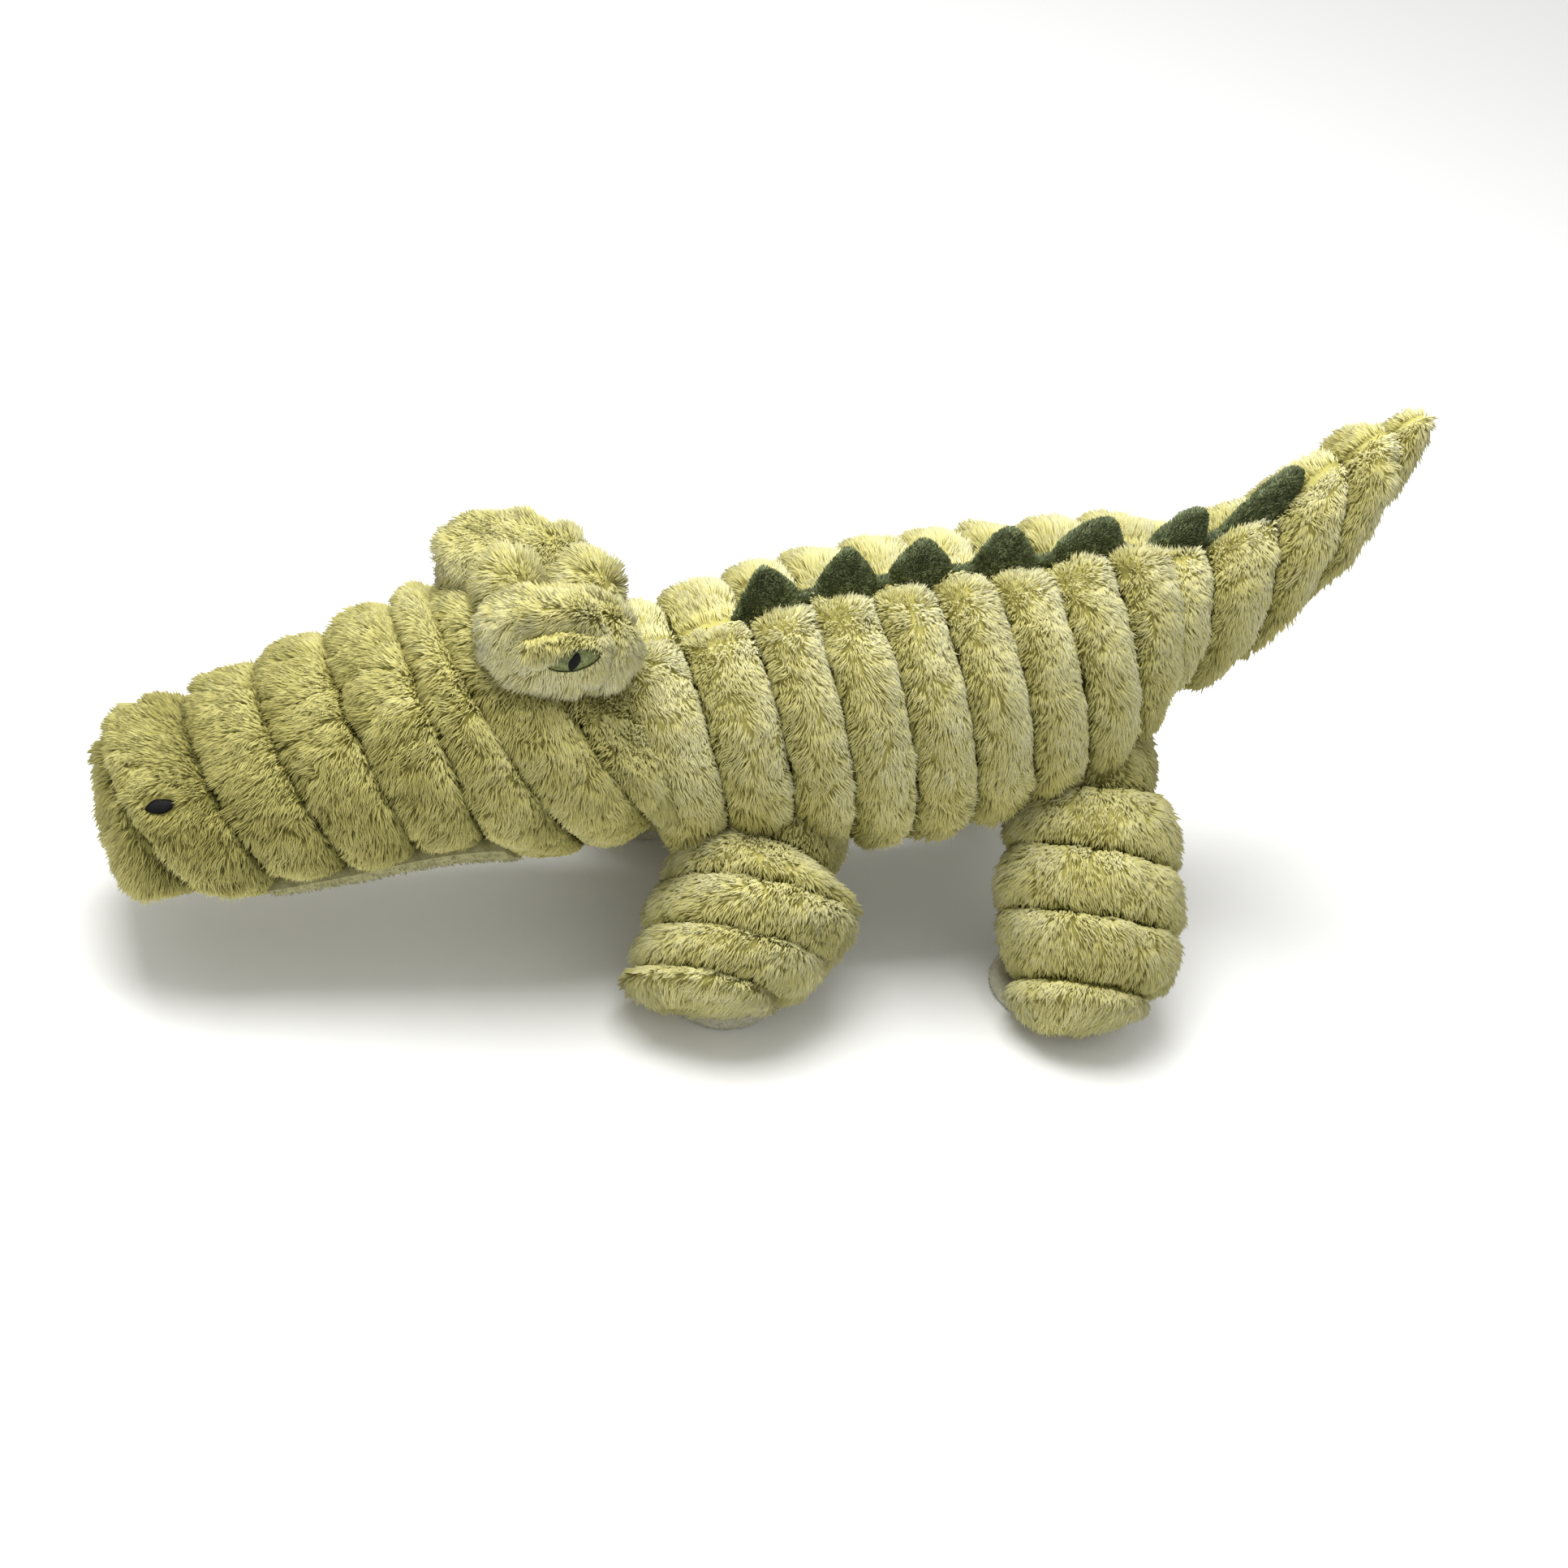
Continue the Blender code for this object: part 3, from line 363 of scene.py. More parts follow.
def closed_tube(name, grid, material, fold=None):
    """A grid closed round and at both ends, all in triangles; fold is one value per row."""
    rows, columns = grid.shape[:2]
    low, high = grid[0].mean(axis=0), grid[-1].mean(axis=0)
    points = np.concatenate([grid.reshape(-1, 3), [low, high]])
    i, j = np.meshgrid(np.arange(rows - 1), np.arange(columns), indexing="ij")
    n = (j + 1) % columns
    a, b, c, d = i * columns + j, i * columns + n, (i + 1) * columns + n, (i + 1) * columns + j
    k = np.arange(columns)
    m, last = (k + 1) % columns, (rows - 1) * columns
    faces = np.concatenate([
        np.stack([a, b, c], -1).reshape(-1, 3), np.stack([a, c, d], -1).reshape(-1, 3),
        np.stack([m, k, np.full(columns, rows * columns)], -1),
        np.stack([last + k, last + m, np.full(columns, rows * columns + 1)], -1)])
    # Outwards is the way in which the closed mesh holds a positive volume
    p, q, r = (points[faces[:, n]] for n in range(3))
    if np.einsum("ij,ij->i", p, np.cross(q, r)).sum() < 0:
        faces = faces[:, ::-1]
    made = new_object(name, points, faces, material)
    if fold is not None:
        data = made.data.attributes.new("fold", "FLOAT", "POINT")
        values = np.append(np.repeat(fold, columns), (1, 1))
        data.data.foreach_set("value", values.astype(np.float32))
    return made


def dress(piece, body, node=None):
    """Says what a piece rides on, and the solid that it replaces."""
    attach(piece, body)
    if node:
        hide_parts(node)


# %% [markdown]
# ## The skins
#
# On the toy a skin is the woven backing that the pile is knitted into. It lies a few millimetres
# under the tips of the fur, and it shows only where the fur parts: in the seams. So each skin is
# drawn in from its solid, more on a roll's crest and less in a seam, and its colour is darkened
# there as painted shade of the seam's fold.
# A cloth simulation would crease it too, but eight millimetres of fur would hide those creases, so
# the filling's unevenness is laid on by noise.

# %% Skin material
backing, tree, shader = new_material("polyester_plush_backing", 0.95, 0.1)
fold = add_node(tree, "ShaderNodeAttribute", attribute_name="fold")
place = add_node(tree, "ShaderNodeTexCoord")
# Yarn tufts of the backing, 1.2 mm apart
yarn = add_node(tree, "ShaderNodeTexNoise", {"Vector": place.outputs["Object"], "Scale": 800.0})
# The fold value is 0 in a seam and 1 on a crest, so the ramp's dark olive in the seams is painted
# shade
mixed = add_node(tree, "ShaderNodeMath", {
    0: yarn.outputs["Fac"], 1: 0.3, 2: fold.outputs["Fac"]}, operation="MULTIPLY_ADD")
ramp = set_ramp(add_node(tree, "ShaderNodeValToRGB", {"Fac": mixed.outputs["Value"]}), (
    (0.15, "#3f4120"), (0.45, "#8d8848"), (1.0, "#bdb66c")))
tree.links.new(ramp.outputs["Color"], shader.inputs["Base Color"])
bump = add_node(tree, "ShaderNodeBump", {
    "Strength": 0.5, "Distance": 0.8 * MM, "Height": yarn.outputs["Fac"]})
tree.links.new(bump.outputs["Normal"], shader.inputs["Normal"])

# %% Skins of the torso, head and tail
STEPS, turns = 14, full_turn(128)
SEAM_WIDTH = 0.16


def round_end(rows, places, power):
    """Last roll as a rounded end: both half sizes shrink by a superellipse of the way along."""
    stations = station_at(rows, places)
    t = np.clip(places - (len(rows) - 2), 0, 1)
    stations[:, 2:4] *= ((1 - t ** power) ** (1 / power))[:, None]
    return stations


def body_grid(rows, end_power=None):
    """Grid of a quilted tube: where it has a rounded end, the last seam is the end itself."""
    t = np.arange(0, (len(rows) - 1) * STEPS + 1) / STEPS
    places = t - 0.8 * np.sin(2 * np.pi * t) / (2 * np.pi)
    last = len(rows) - 2
    if end_power:
        # Closer rings near the pole, where the ring shrinks fast
        places = np.where(places > last, last + np.sin((places - last) * np.pi / 2), places)
    inset = 4.2 * MM + 2.4 * MM * hump(np.sin(np.pi * places), 0, SEAM_WIDTH)
    if end_power:
        stations = round_end(rows, places, end_power)
        end = places > last
        swell = roll_swell(rows, places[:, None], turns[None]) * np.where(end, 0, 1)[:, None]
        inset = np.where(end, 6.6 * MM - 2.4 * MM * smooth_step(0, 0.12, places - last), inset)
        inset = np.minimum(inset, stations[:, 2] * 0.8)
        grid = ring_at(stations[:, None], turns[None], swell - inset[:, None])
    else:
        grid = skin_at(rows, places[:, None], turns[None], -inset[:, None])
    return places, uneven(grid, 0.9 * MM, 45 * MM, 3)


tubes = {"torso": body_grid(torso_rows), "head": body_grid(head_rows, 3.4),
         "tail": body_grid(tail_rows, 1.6)}
for word, (places, grid) in tubes.items():
    skin = closed_tube(f"skin_{word}", grid, backing, off_seam(places))
    dress(skin, "body" if word == "torso" else word, word)
    print("skin", word, grid.shape)


# %% [markdown]
# ## The legs
#
# A leg is a short tube turned round its own slanted axis: a ball of filling in the shoulder, two
# or three rolls, and a rounded toe. Where it stands, the foot is flattened by the floor.

# %% Leg shapes
# Pivots' spacing, the share of the torso's length where they are, their height, spread, forward
# reach, foot's height, radius and reach past the foot, all but the share in millimetres; then
# each seam as shares of the length and the radius
LEG_SIZES = {
    "front": (82, 0.257, 68, 32, 22, 42, 42, 43, ((0.42, 1.02), (0.68, 1.02), (0.88, 0.82))),
    "hind": (80, 0.913, 97, 60, 12, 35, 39, 34, ((0.33, 1.00), (0.58, 1.05), (0.82, 0.86))),
}
BALL, TOE_SHIFT, DRAWN_UP, LEG_STEPS = 34.5 * MM, 11 * MM, 6 * MM, 12


def leg_frame(pair, side):
    """Pivot, axis and length of a leg, from its named sizes in millimetres."""
    spacing, share, height, spread, forward, foot, radius, reach, seams = LEG_SIZES[pair]
    pivot = np.array((NECK[0] + share * TORSO_LENGTH, side * spacing * MM / 2, height * MM))
    step = np.array((-forward, side * spread, foot - height)) * MM
    length = np.linalg.norm(step)
    return pivot, step / length, length + reach * MM, radius * MM, seams


def leg_profile(pair, side):
    """Outline of a leg as place, along, out: an arc of the ball, rolls, a toe's quarter oval."""
    pivot, axis, length, radius, seams = leg_frame(pair, side)
    ball = np.radians(np.linspace(176, 80, LEG_STEPS))
    round_top = BALL - (9 * MM if pair == "hind" else 4 * MM)
    rows = [np.stack([np.linspace(-1, -0.05, LEG_STEPS), BALL * np.cos(ball),
                      round_top * np.sin(ball)], 1)]
    root = (BALL * math.cos(math.radians(74)), BALL * math.sin(math.radians(74)))
    points = [root] + [(a * length, r * radius) for a, r in seams]
    for k, (low, high) in enumerate(zip(points, points[1:])):
        s = np.arange(LEG_STEPS) / LEG_STEPS
        s = s - 0.7 * np.sin(2 * np.pi * s) / (2 * np.pi)
        swell = 5.5 * MM * np.sin(np.pi * s) ** 0.4 - 4.2 * MM
        swell = swell - 1.8 * MM * hump(np.sin(np.pi * s), 0, SEAM_WIDTH)
        rows.append(np.stack([k + s, low[0] + (high[0] - low[0]) * s,
                              low[1] + (high[1] - low[1]) * s + swell], 1))
    s = np.linspace(0, 0.97, LEG_STEPS)
    lead, out = points[-1]
    toe = out + 5.5 * MM * smooth_step(0, 0.2, s) - 6.0 * MM + 1.8 * MM * smooth_step(0, 0.1, s)
    forward = lead + (length - 3 * MM - lead) * np.sin(s * np.pi / 2)
    rows.append(np.stack([len(points) - 1 + s, forward, toe * np.cos(s * np.pi / 2)], 1))
    return np.concatenate(rows)


def leg_grid(pair, side):
    """Grid of a leg: its outline turned round the axis, then flattened onto the sole's top."""
    pivot, axis, *_ = leg_frame(pair, side)
    back = np.cross(axis, (0, 0, 1.0))
    back = np.cross(back / np.linalg.norm(back), axis)
    other = np.cross(axis, back)
    places, along, out = leg_profile(pair, side).T
    turn = full_turn(72)[:, None]
    arm = np.cos(turn) * back + np.sin(turn) * other
    # The hind rings tip down towards the tail, and the front rings up, with the whole foot drawn up
    toe = smooth_step(2.6, 4, places)
    past_ball = smooth_step(0, 1, places)
    hind = pair == "hind"
    tilt = (0.12 * (1 - toe) if hind else -0.20) * past_ball
    along = along - (0 if hind else DRAWN_UP) * past_ball
    shift = along[:, None] + tilt[:, None] * out[:, None] * arm[None, :, 0]
    out = out * (1 - 0.22 * toe if hind else 1 - 0.16 * toe - 0.06 * hump(places, 2.2, 1))
    grid = pivot + shift[..., None] * axis + out[:, None, None] * arm[None]
    grid[..., 0] -= TOE_SHIFT * toe[:, None]
    if not hind:
        grid[..., 0] += np.interp(places, (0.3, 1, 2, 4), (0, 6, 3, -6))[:, None] * MM
    grid = uneven(grid, 0.8 * MM, 35 * MM, 5)
    grid[..., 2] = np.maximum(grid[..., 2], 3 * MM)
    return places, grid


legs = {}
for pair in LEG_SIZES:
    for side, word in ((-1, "left"), (1, "right")):
        name = f"{pair}_leg_{word}"
        places, grid = leg_grid(pair, side)
        legs[name] = (pair, side, places, grid)
        skin = closed_tube(f"skin_{name}", grid, backing, off_seam(places))
        dress(skin, name, name)
print("legs:", ", ".join(legs))


# %% [markdown]
# ## Eye bumps and the crown
#
# Two stuffed loaves stand on the head and carry the eyes, with two short rolls between them. Each
# loaf has a sewn fold above the eye, so that a brow hangs over it.

# %% Eye bumps
HEAD_TOP = ring_at(station_at(head_rows, np.array(0.112 * HEAD_END)), np.array(0.0), 0)
BUMP_HALF = np.array((35, 23.5, 27)) * MM
BUMP_INSET = 3.4 * MM
bump_turns = full_turn(64)


def bump_centre(side):
    """Middle of an eye bump, over the head's back seam and to one side."""
    return HEAD_TOP + (0, side * 30 * MM, 10.5 * MM)


def bump_grid(side):
    """A loaf along the toy: ovals shrink by a superellipse, folded over the eye and behind it.

    Turn 0 is the ridge and a quarter turn is the eye's side. The top is lower than the solid's.
    """
    centre, (long, wide, high) = bump_centre(side), BUMP_HALF - BUMP_INSET
    lower, forward, fold = (5 * MM, 0, 3.2 * MM) if side < 0 else (9 * MM, 5 * MM, 1.2 * MM)
    q = np.linspace(-1, 1, 57)
    along = (long * np.sin(q * np.pi / 2) * 0.999)[:, None]
    shrink = (1 - np.abs(along / long) ** 2.4) ** (1 / 2.4)
    turn = (np.remainder(bump_turns + np.pi, 2 * np.pi) - np.pi)[None]
    brow = np.radians(40) + np.radians(20) * (along / long) ** 2
    fade = smooth_step(1.0, 0.7, np.abs(along / long))
    fade = fade * smooth_step(0.75, 0.35, np.abs(along / long + 0.1))
    out = -fold * hump(turn, brow, np.radians(9)) * fade
    out = out + 3 * MM * hump(turn, brow - np.radians(24), np.radians(17)) * fade
    out = out + 2 * MM * hump(turn, brow + np.radians(26), np.radians(18)) * fade
    behind = 15 * MM + 5 * MM * np.cos(turn - 0.6)
    on_side = smooth_step(0.1, 0.5, turn) * smooth_step(2.4, 1.9, turn)
    out = out - 1.1 * fold * hump(along, behind, 3 * MM) * on_side
    tall = np.where(np.cos(turn) > 0, high - lower, high - 3 * MM)
    y = (wide * shrink + out) * np.sin(turn)
    z = (tall * shrink + out) * np.cos(turn)
    x = centre[0] - forward + along - 0.24 * z
    return q, points_of(x, centre[1] + side * y, centre[2] + z)


bumps = {}
for side, word in ((-1, "left"), (1, "right")):
    q, grid = bump_grid(side)
    bumps[word] = (side, q, grid)
    skin = closed_tube(f"skin_eye_bump_{word}", grid, backing, np.full(len(grid), 0.8))
    dress(skin, "head", f"eye_bump_{word}")

# %% Crown rolls
crown_places = np.linspace(0, 2, 41)
crown_x = np.interp(crown_places, (0, 1, 2), HEAD_TOP[0] + np.array((-31, 2, 34)) * MM)
CROWN_Z = HEAD_TOP[2] - 5.5 * MM
swell = off_seam(crown_places) ** 0.5
knots = (0, 0.12, 1, 1.88, 2)
crown_high = np.interp(crown_places, knots, (4, 14, 7, 13, 4)) * MM + 23 * MM * swell
crown_wide = np.interp(crown_places, knots, (8, 20, 22, 20, 8)) * MM + 4 * MM * swell
crown_stations = np.stack([crown_x, np.full(41, CROWN_Z), crown_wide, crown_high, np.zeros(41)], 1)
crown_grid = ring_at(crown_stations[:, None], bump_turns[None], 0)
skin = closed_tube("skin_crown_rolls", crown_grid, backing, off_seam(crown_places))
dress(skin, "head", "crown_rolls")
print("bumps and crown done")


# %% [markdown]
# ## Fur
#
# The fur is long polyester pile. Hair curves would be the quick way, but they are not a solid that
# can be printed or moved with the toy, so each strand here is a thin closed blade: a root, two
# middle points a width apart, and a tip. Real pile is finer and far denser, so a blade stands for a
# small bundle of hairs. Strands gather in tufts a few millimetres wide that share a direction, as
# brushed pile does, and their tips draw together.


# %% Inside tests, so that no strand starts inside another piece
def inside_tube(points, rows, last, shrink=5 * MM):
    """Whether points lie inside a tube: nearest leaning ring first, then its oval."""
    x, z, wide, high, lean = station_at(rows, np.linspace(0, last, 60)).T
    dx, dz = points[:, None, 0] - x, points[:, None, 2] - z
    ahead = dx * np.cos(lean) + dz * np.sin(lean)
    near = np.argmin(np.abs(ahead) + 0.02 * np.hypot(dx, dz), axis=1)
    pick = np.arange(len(points))
    up = (-dx * np.sin(lean) + dz * np.cos(lean))[pick, near]
    in_ring = (points[:, 1] / (wide[near] - shrink)) ** 2 + (up / (high[near] - shrink)) ** 2 < 1
    return in_ring & (np.abs(ahead[pick, near]) < 4 * MM)


def inside_leg(points, pair, side):
    """Whether points lie inside a leg: place along its axis, then its outline there."""
    pivot, axis, *_ = leg_frame(pair, side)
    _, along, out = leg_profile(pair, side).T
    arm = points - pivot
    forward = arm @ axis
    away = np.linalg.norm(arm - forward[:, None] * axis, axis=1)
    return away < np.interp(forward, along, out, left=-1, right=-1) - 2.5 * MM


def inside_oval(points, centre, half, shrink):
    """Whether points lie inside an upright oval ball."""
    return (((points - centre) / (half - shrink)) ** 2).sum(axis=1) < 1


# %% Scatter roots over a grid
def scatter(grid, places, count, local, keep, weight=1.0):
    """Random roots: a cell is drawn by its area and weight, then a spot inside the cell.

    Only the roots for which keep gives true are returned.
    """
    count = int(count * DENSITY)
    columns = grid.shape[1]
    closed = np.concatenate([grid, grid[:, :1]], axis=1)
    p, q, r = closed[:-1, :-1], closed[1:, :-1], closed[:-1, 1:]
    total = np.cumsum((np.linalg.norm(np.cross(q - p, r - p), axis=-1) * weight).ravel())
    cell = np.searchsorted(total, local.random(count) * total[-1])
    i, j = np.divmod(cell, columns)
    s, t = local.random(count), local.random(count)

    def blend(field):
        """Value of a field of the grid at each spot: straight lines across and along the cell."""
        field = np.concatenate([field, field[:, :1]], axis=1)
        low = field[i, j] + (field[i, j + 1] - field[i, j]) * t[:, None]
        high = field[i + 1, j] + (field[i + 1, j + 1] - field[i + 1, j]) * t[:, None]
        return low + (high - low) * s[:, None]
    along, across, out = (unit(blend(field)) for field in grid_normals(grid))
    place = places[i] + (places[i + 1] - places[i]) * s
    turn = (j + t) / columns * 2 * np.pi
    girth = np.linalg.norm(np.diff(closed, axis=1), axis=-1).sum(axis=1)[i]
    roots = dict(root=blend(grid), along=along, across=across, out=out, place=place, turn=turn,
                 girth=girth, share=place - np.floor(place), from_back=from_top(turn))
    good = keep(roots)
    return {key: value[good] for key, value in roots.items()}


# %% Gather strands in tufts
def tuft_of(roots, per_roll, tuft_size, local):
    """Nearest tuft of each root: one jittered tuft per cell of a grid over place and turn."""
    u = roots["place"] * per_roll
    around = max(8, int(np.median(roots["girth"]) / tuft_size))
    v = roots["turn"] / (2 * np.pi) * around
    low = int(np.floor(u.min())) - 1
    high = int(np.ceil(u.max())) + 1
    shift = local.uniform(0.1, 0.9, size=(high - low + 2, around, 2))
    best = np.full(len(u), 1e9)
    tuft = np.zeros(len(u), int)
    for di in (-1, 0, 1):
        for dj in (-1, 0, 1):
            ci = np.floor(u).astype(int) + di
            cj = np.floor(v).astype(int) + dj
            cell = shift[ci - low, cj % around]
            gap = (ci + cell[:, 0] - u) ** 2 + (cj + cell[:, 1] - v) ** 2
            tuft = np.where(gap < best, (ci - low) * around + cj % around, tuft)
            best = np.minimum(gap, best)
    return tuft


def tuft_means(tuft, values):
    """Mean of the points of each tuft, given back to each of its strands."""
    count = tuft.max() + 1
    size = np.maximum(np.bincount(tuft, minlength=count), 1)
    sums = [np.bincount(tuft, values[:, k], minlength=count) / size for k in range(3)]
    return np.stack(sums, 1)[tuft]


# %% Build strands
def strands_object(name, body, roots, sweep, length, lean, tone, width, gather, material):
    """Closed blades: a sunk root, two middle points a width apart, and a tip that lies over.

    The middle stands above the line from root to tip, so the four faces hold a thin solid.
    """
    root, out = roots["root"], roots["out"]

    def bent(start, angle):
        """The end of half a strand that leaves the surface's normal by an angle."""
        way = out * np.cos(angle)[:, None] + sweep * np.sin(angle)[:, None]
        return start + way * (length * 0.5)[:, None]
    middle = bent(root, lean * 0.82)
    tip = bent(middle, lean * 1.14)
    tuft, pull = gather
    tip = tip + (tuft_means(tuft, tip) - tip) * pull[:, None]
    middle = middle + (tuft_means(tuft, middle) - middle) * (pull * 0.35)[:, None]
    foot = root - out * 1.5 * MM
    axis = unit(tip - foot)
    across = unit(np.cross(axis, out + sweep * 0.1)) * (width / 2)[:, None]
    rise = np.sum((middle - foot) * np.cross(across, axis), axis=1, keepdims=True)
    across = across * np.where(rise < 0, -1, 1)
    points = np.stack([foot, middle - across, middle + across, tip], axis=1)
    points[..., 2] = np.maximum(points[..., 2], 0.4 * MM + 0.1 * points[..., 2].clip(-4 * MM, 0))
    pattern = np.array(((0, 2, 1), (1, 2, 3), (0, 1, 3), (0, 3, 2)))
    faces = (np.arange(len(root))[:, None, None] * 4 + pattern).reshape(-1, 3)
    made = new_object(name, points, faces, material)
    # A strand is lit as the round bundle of fine hairs that it stands for, not as four flat faces
    side = unit(across)
    lit = np.stack([out, unit(out - side * 0.45), unit(out + side * 0.45),
                    unit(out + axis * 0.3)], axis=1)
    made.data.normals_split_custom_set_from_vertices(lit.reshape(-1, 3).astype(np.float32))
    # The map: tone across, and the way from root to tip upwards
    tone = np.clip(tone, 0.02, 0.98)[:, None, None]
    u = tone + 0.006 * np.array(((0, 1, -1), (-1, 1, 0), (0, -1, 0), (0, 0, 1)))
    v = np.array(((0.02, 0.5, 0.5), (0.5, 0.5, 0.98), (0.02, 0.5, 0.98), (0.02, 0.98, 0.5)))
    layer = made.data.uv_layers.new(name="OFBake", do_init=False)
    uv = np.stack([u, np.broadcast_to(v, u.shape)], -1)
    layer.uv.foreach_set("vector", uv.astype(np.float32).ravel())
    dress(made, body)


# %% [markdown]
# The pile's colour runs from a dull olive at its root to pale straw at its tip, and the tone of a
# whole tuft shifts a little. Each strand's map holds just that: its tone across, and the way from
# root to tip upwards, so the colour is one ramp of the two.


# %% Fur material
def pile_material(name, roughness, specular, rise, start, stops):
    """Colour of strands: a ramp of the tone plus start plus rise times the way to the tip."""
    made, tree, shader = new_material(name, roughness, specular)
    strand_map = add_node(tree, "ShaderNodeUVMap", uv_map="OFBake")
    parts = add_node(tree, "ShaderNodeSeparateXYZ", {"Vector": strand_map.outputs["UV"]})
    risen = add_node(tree, "ShaderNodeMath", {0: parts.outputs["Y"], 1: rise, 2: start},
                     operation="MULTIPLY_ADD")
    value = add_node(tree, "ShaderNodeMath", {0: parts.outputs["X"], 1: risen.outputs["Value"]},
                     operation="ADD")
    ramp = set_ramp(add_node(tree, "ShaderNodeValToRGB", {"Fac": value.outputs["Value"]}), stops)
    tree.links.new(ramp.outputs["Color"], shader.inputs["Base Color"])
    return made


long_pile = pile_material("long_polyester_pile", 0.62, 0.25, 0.42, -0.24, (
    (0.0, "#4b461e"), (0.22, "#9b944f"), (0.45, "#c9c279"), (0.68, "#dad59f"), (1.0, "#e5e3c6")))


# %% Fur of one piece
def grow_fur(name, body, grid, places, count, nap, seed, tone, keep, length=8 * MM, per_roll=4.2,
             weight=1.0, parts=1):
    """Fur over a grid: scatter, drop what must stay bare, gather in tufts, and build."""
    local = np.random.default_rng(seed)
    roots = scatter(grid, places, count, local, keep, weight)
    root, n = roots["root"], len(roots["place"])
    sweep, lean, shade, size = nap(roots)
    tuft = tuft_of(roots, per_roll, 6.5 * MM, local)
    # Four numbers that a whole tuft shares: swing, lean, length and tone
    each = np.random.default_rng(seed + 1).normal(size=(tuft.max() + 1, 4))
    swing = each[tuft, 0] * 0.26 + local.normal(size=n) * 0.22 + 0.5 * wander(root, 60 * MM, seed)
    side = np.cross(roots["out"], sweep)
    sweep = unit(sweep * np.cos(swing)[:, None] + side * np.sin(swing)[:, None])
    lean = np.clip(lean + each[tuft, 1] * 0.07 + local.normal(size=n) * 0.12, 0.3, 1.38)
    share = np.clip(1 + each[tuft, 2] * 0.14 + local.normal(size=n) * 0.10, 0.55, 1.4)
    long = length * size * share
    tones = tone + shade + each[tuft, 3] * 0.025 + local.normal(size=n) * 0.04
    tones = tones + 0.05 * wander(root, 30 * MM, seed + 5) + 0.05 * wander(root, 11 * MM, seed + 6)
    width = local.uniform(0.36, 0.58, n) * MM
    pull = 0.13 * np.clip(local.normal(1, 0.3, n), 0.2, 1.6)
    order = np.argsort(roots["place"], kind="stable")
    for k, part in enumerate(np.array_split(order, parts)):
        some = {key: value[part] for key, value in roots.items()}
        part_name = f"{name}_{k + 1}" if parts > 1 else name
        strands_object(part_name, body, some, sweep[part], long[part], lean[part], tones[part],
                       width[part], (tuft[part], pull[part]), long_pile)
    print(name, n, "strands")


# %% [markdown]
# The nap is the way that pile lies. On the body it falls from the back seam down each roll, on the
# snout it runs to the nose, and on a leg to the toes. Each nap gives four things for a root: the
# direction, how far the strand leans from upright in radians, how its tone shifts, mostly as
# painted shade and painted light, and its share of the full length. Most of them follow the share
# of the way across a roll, from one seam at 0 to the next at 1: strands are short in the seams, and
# painted dark where they stand in shadow.


# %% Nap of the torso, tail and head
def seam_shadow(share):
    """Darkness of the strands that stand in a seam: a narrow bell, fainter at a roll's far end."""
    return (0.5 - 0.36 * share) * hump(np.sin(np.pi * share), 0, 0.12)


def down_the_roll(roots, standing=0.45):
    """Nap of the torso and tail: bristling at a roll's nose side, then combed down and flat."""
    s, from_back = roots["share"], roots["from_back"]
    down = roots["across"] * np.sign(np.sin(roots["turn"]))[:, None]
    angle = np.interp(s, (0, 0.12, 0.3, 0.6, 1), (0.1, -0.5, -0.35, 0.15, 0.05))
    sweep = down * np.cos(angle)[:, None] + roots["along"] * np.sin(angle)[:, None]
    lean = np.interp(s, (0, 0.1, 0.25, 0.45, 0.8, 1), (1.3, 1.0, 0.9, 1.05, 1.18, 1.32))
    # Painted shade darkens a roll's nose side by the seam, and painted light brightens its tail
    # side
    shade = np.interp(s, (0, 0.12, 0.35, 0.7, 0.95, 1), (-0.20, -0.16, -0.06, 0.06, 0.10, 0.06))
    size = np.interp(s, (0, 0.12, 0.35, 0.8, 0.9, 1), (0.35, 0.65, 1, 0.9, 0.55, 0.3))
    # Beside the back seam the pile stands up and laps over the feet of the spikes
    beside = hump(from_back, np.radians(15), np.radians(8))
    # Lower down the sides the fur is darkened as painted shade, the light being overhead
    shade = shade + 0.04 * beside - seam_shadow(s) - 0.13 * smooth_step(1.1, 2.1, from_back)
    return sweep, lean - standing * beside, shade, size


def down_the_tail(roots):
    """Nap of the tail: as on the torso, but calmer along its narrow top."""
    return down_the_roll(roots, 0.15)


def to_the_nose(roots):
    """Nap of the head: towards the nose on top, and turning down its sides."""
    s, from_back = roots["share"], roots["from_back"]
    sweep = roots["along"] * 0.8 + roots["across"] * np.sin(roots["turn"])[:, None]
    lean = np.interp(s, (0, 0.2, 0.7, 1), (1.3, 1.1, 1.05, 1.25))
    upper = np.interp(s, (0, 0.1, 0.5, 0.85, 1), (0.0, 0.03, 0.02, -0.03, -0.07))
    lower = np.interp(s, (0, 0.2, 0.45, 0.8, 1), (-0.12, -0.09, -0.01, 0.05, 0.05))
    size = np.interp(s, (0, 0.15, 0.6, 0.9, 1), (0.5, 1.0, 1.05, 0.7, 0.35))
    # Upper and lower are two patterns of painted shade across a roll; the sides, and the whole
    # nose, take the lower one, dark at a roll's tail-side edge
    low = np.maximum(smooth_step(np.radians(60), np.radians(105), from_back),
                     smooth_step(5.8, 6.1, roots["place"]))
    under = smooth_step(np.radians(90), np.radians(68), np.pi - from_back)
    shade = upper + (lower - upper) * low - seam_shadow(s)
    shade = shade - 0.07 * smooth_step(2.5, 4.0, roots["place"])
    return unit(sweep), lean + 0.2 * under, shade, size * (1 - 0.55 * under)


# %% Nap of the legs, eye bumps and crown
EYE_LONG, EYE_HIGH, EYE_RISE, EYE_SLANT = 11 * MM, 4.9 * MM, 4.6 * MM, 0.2


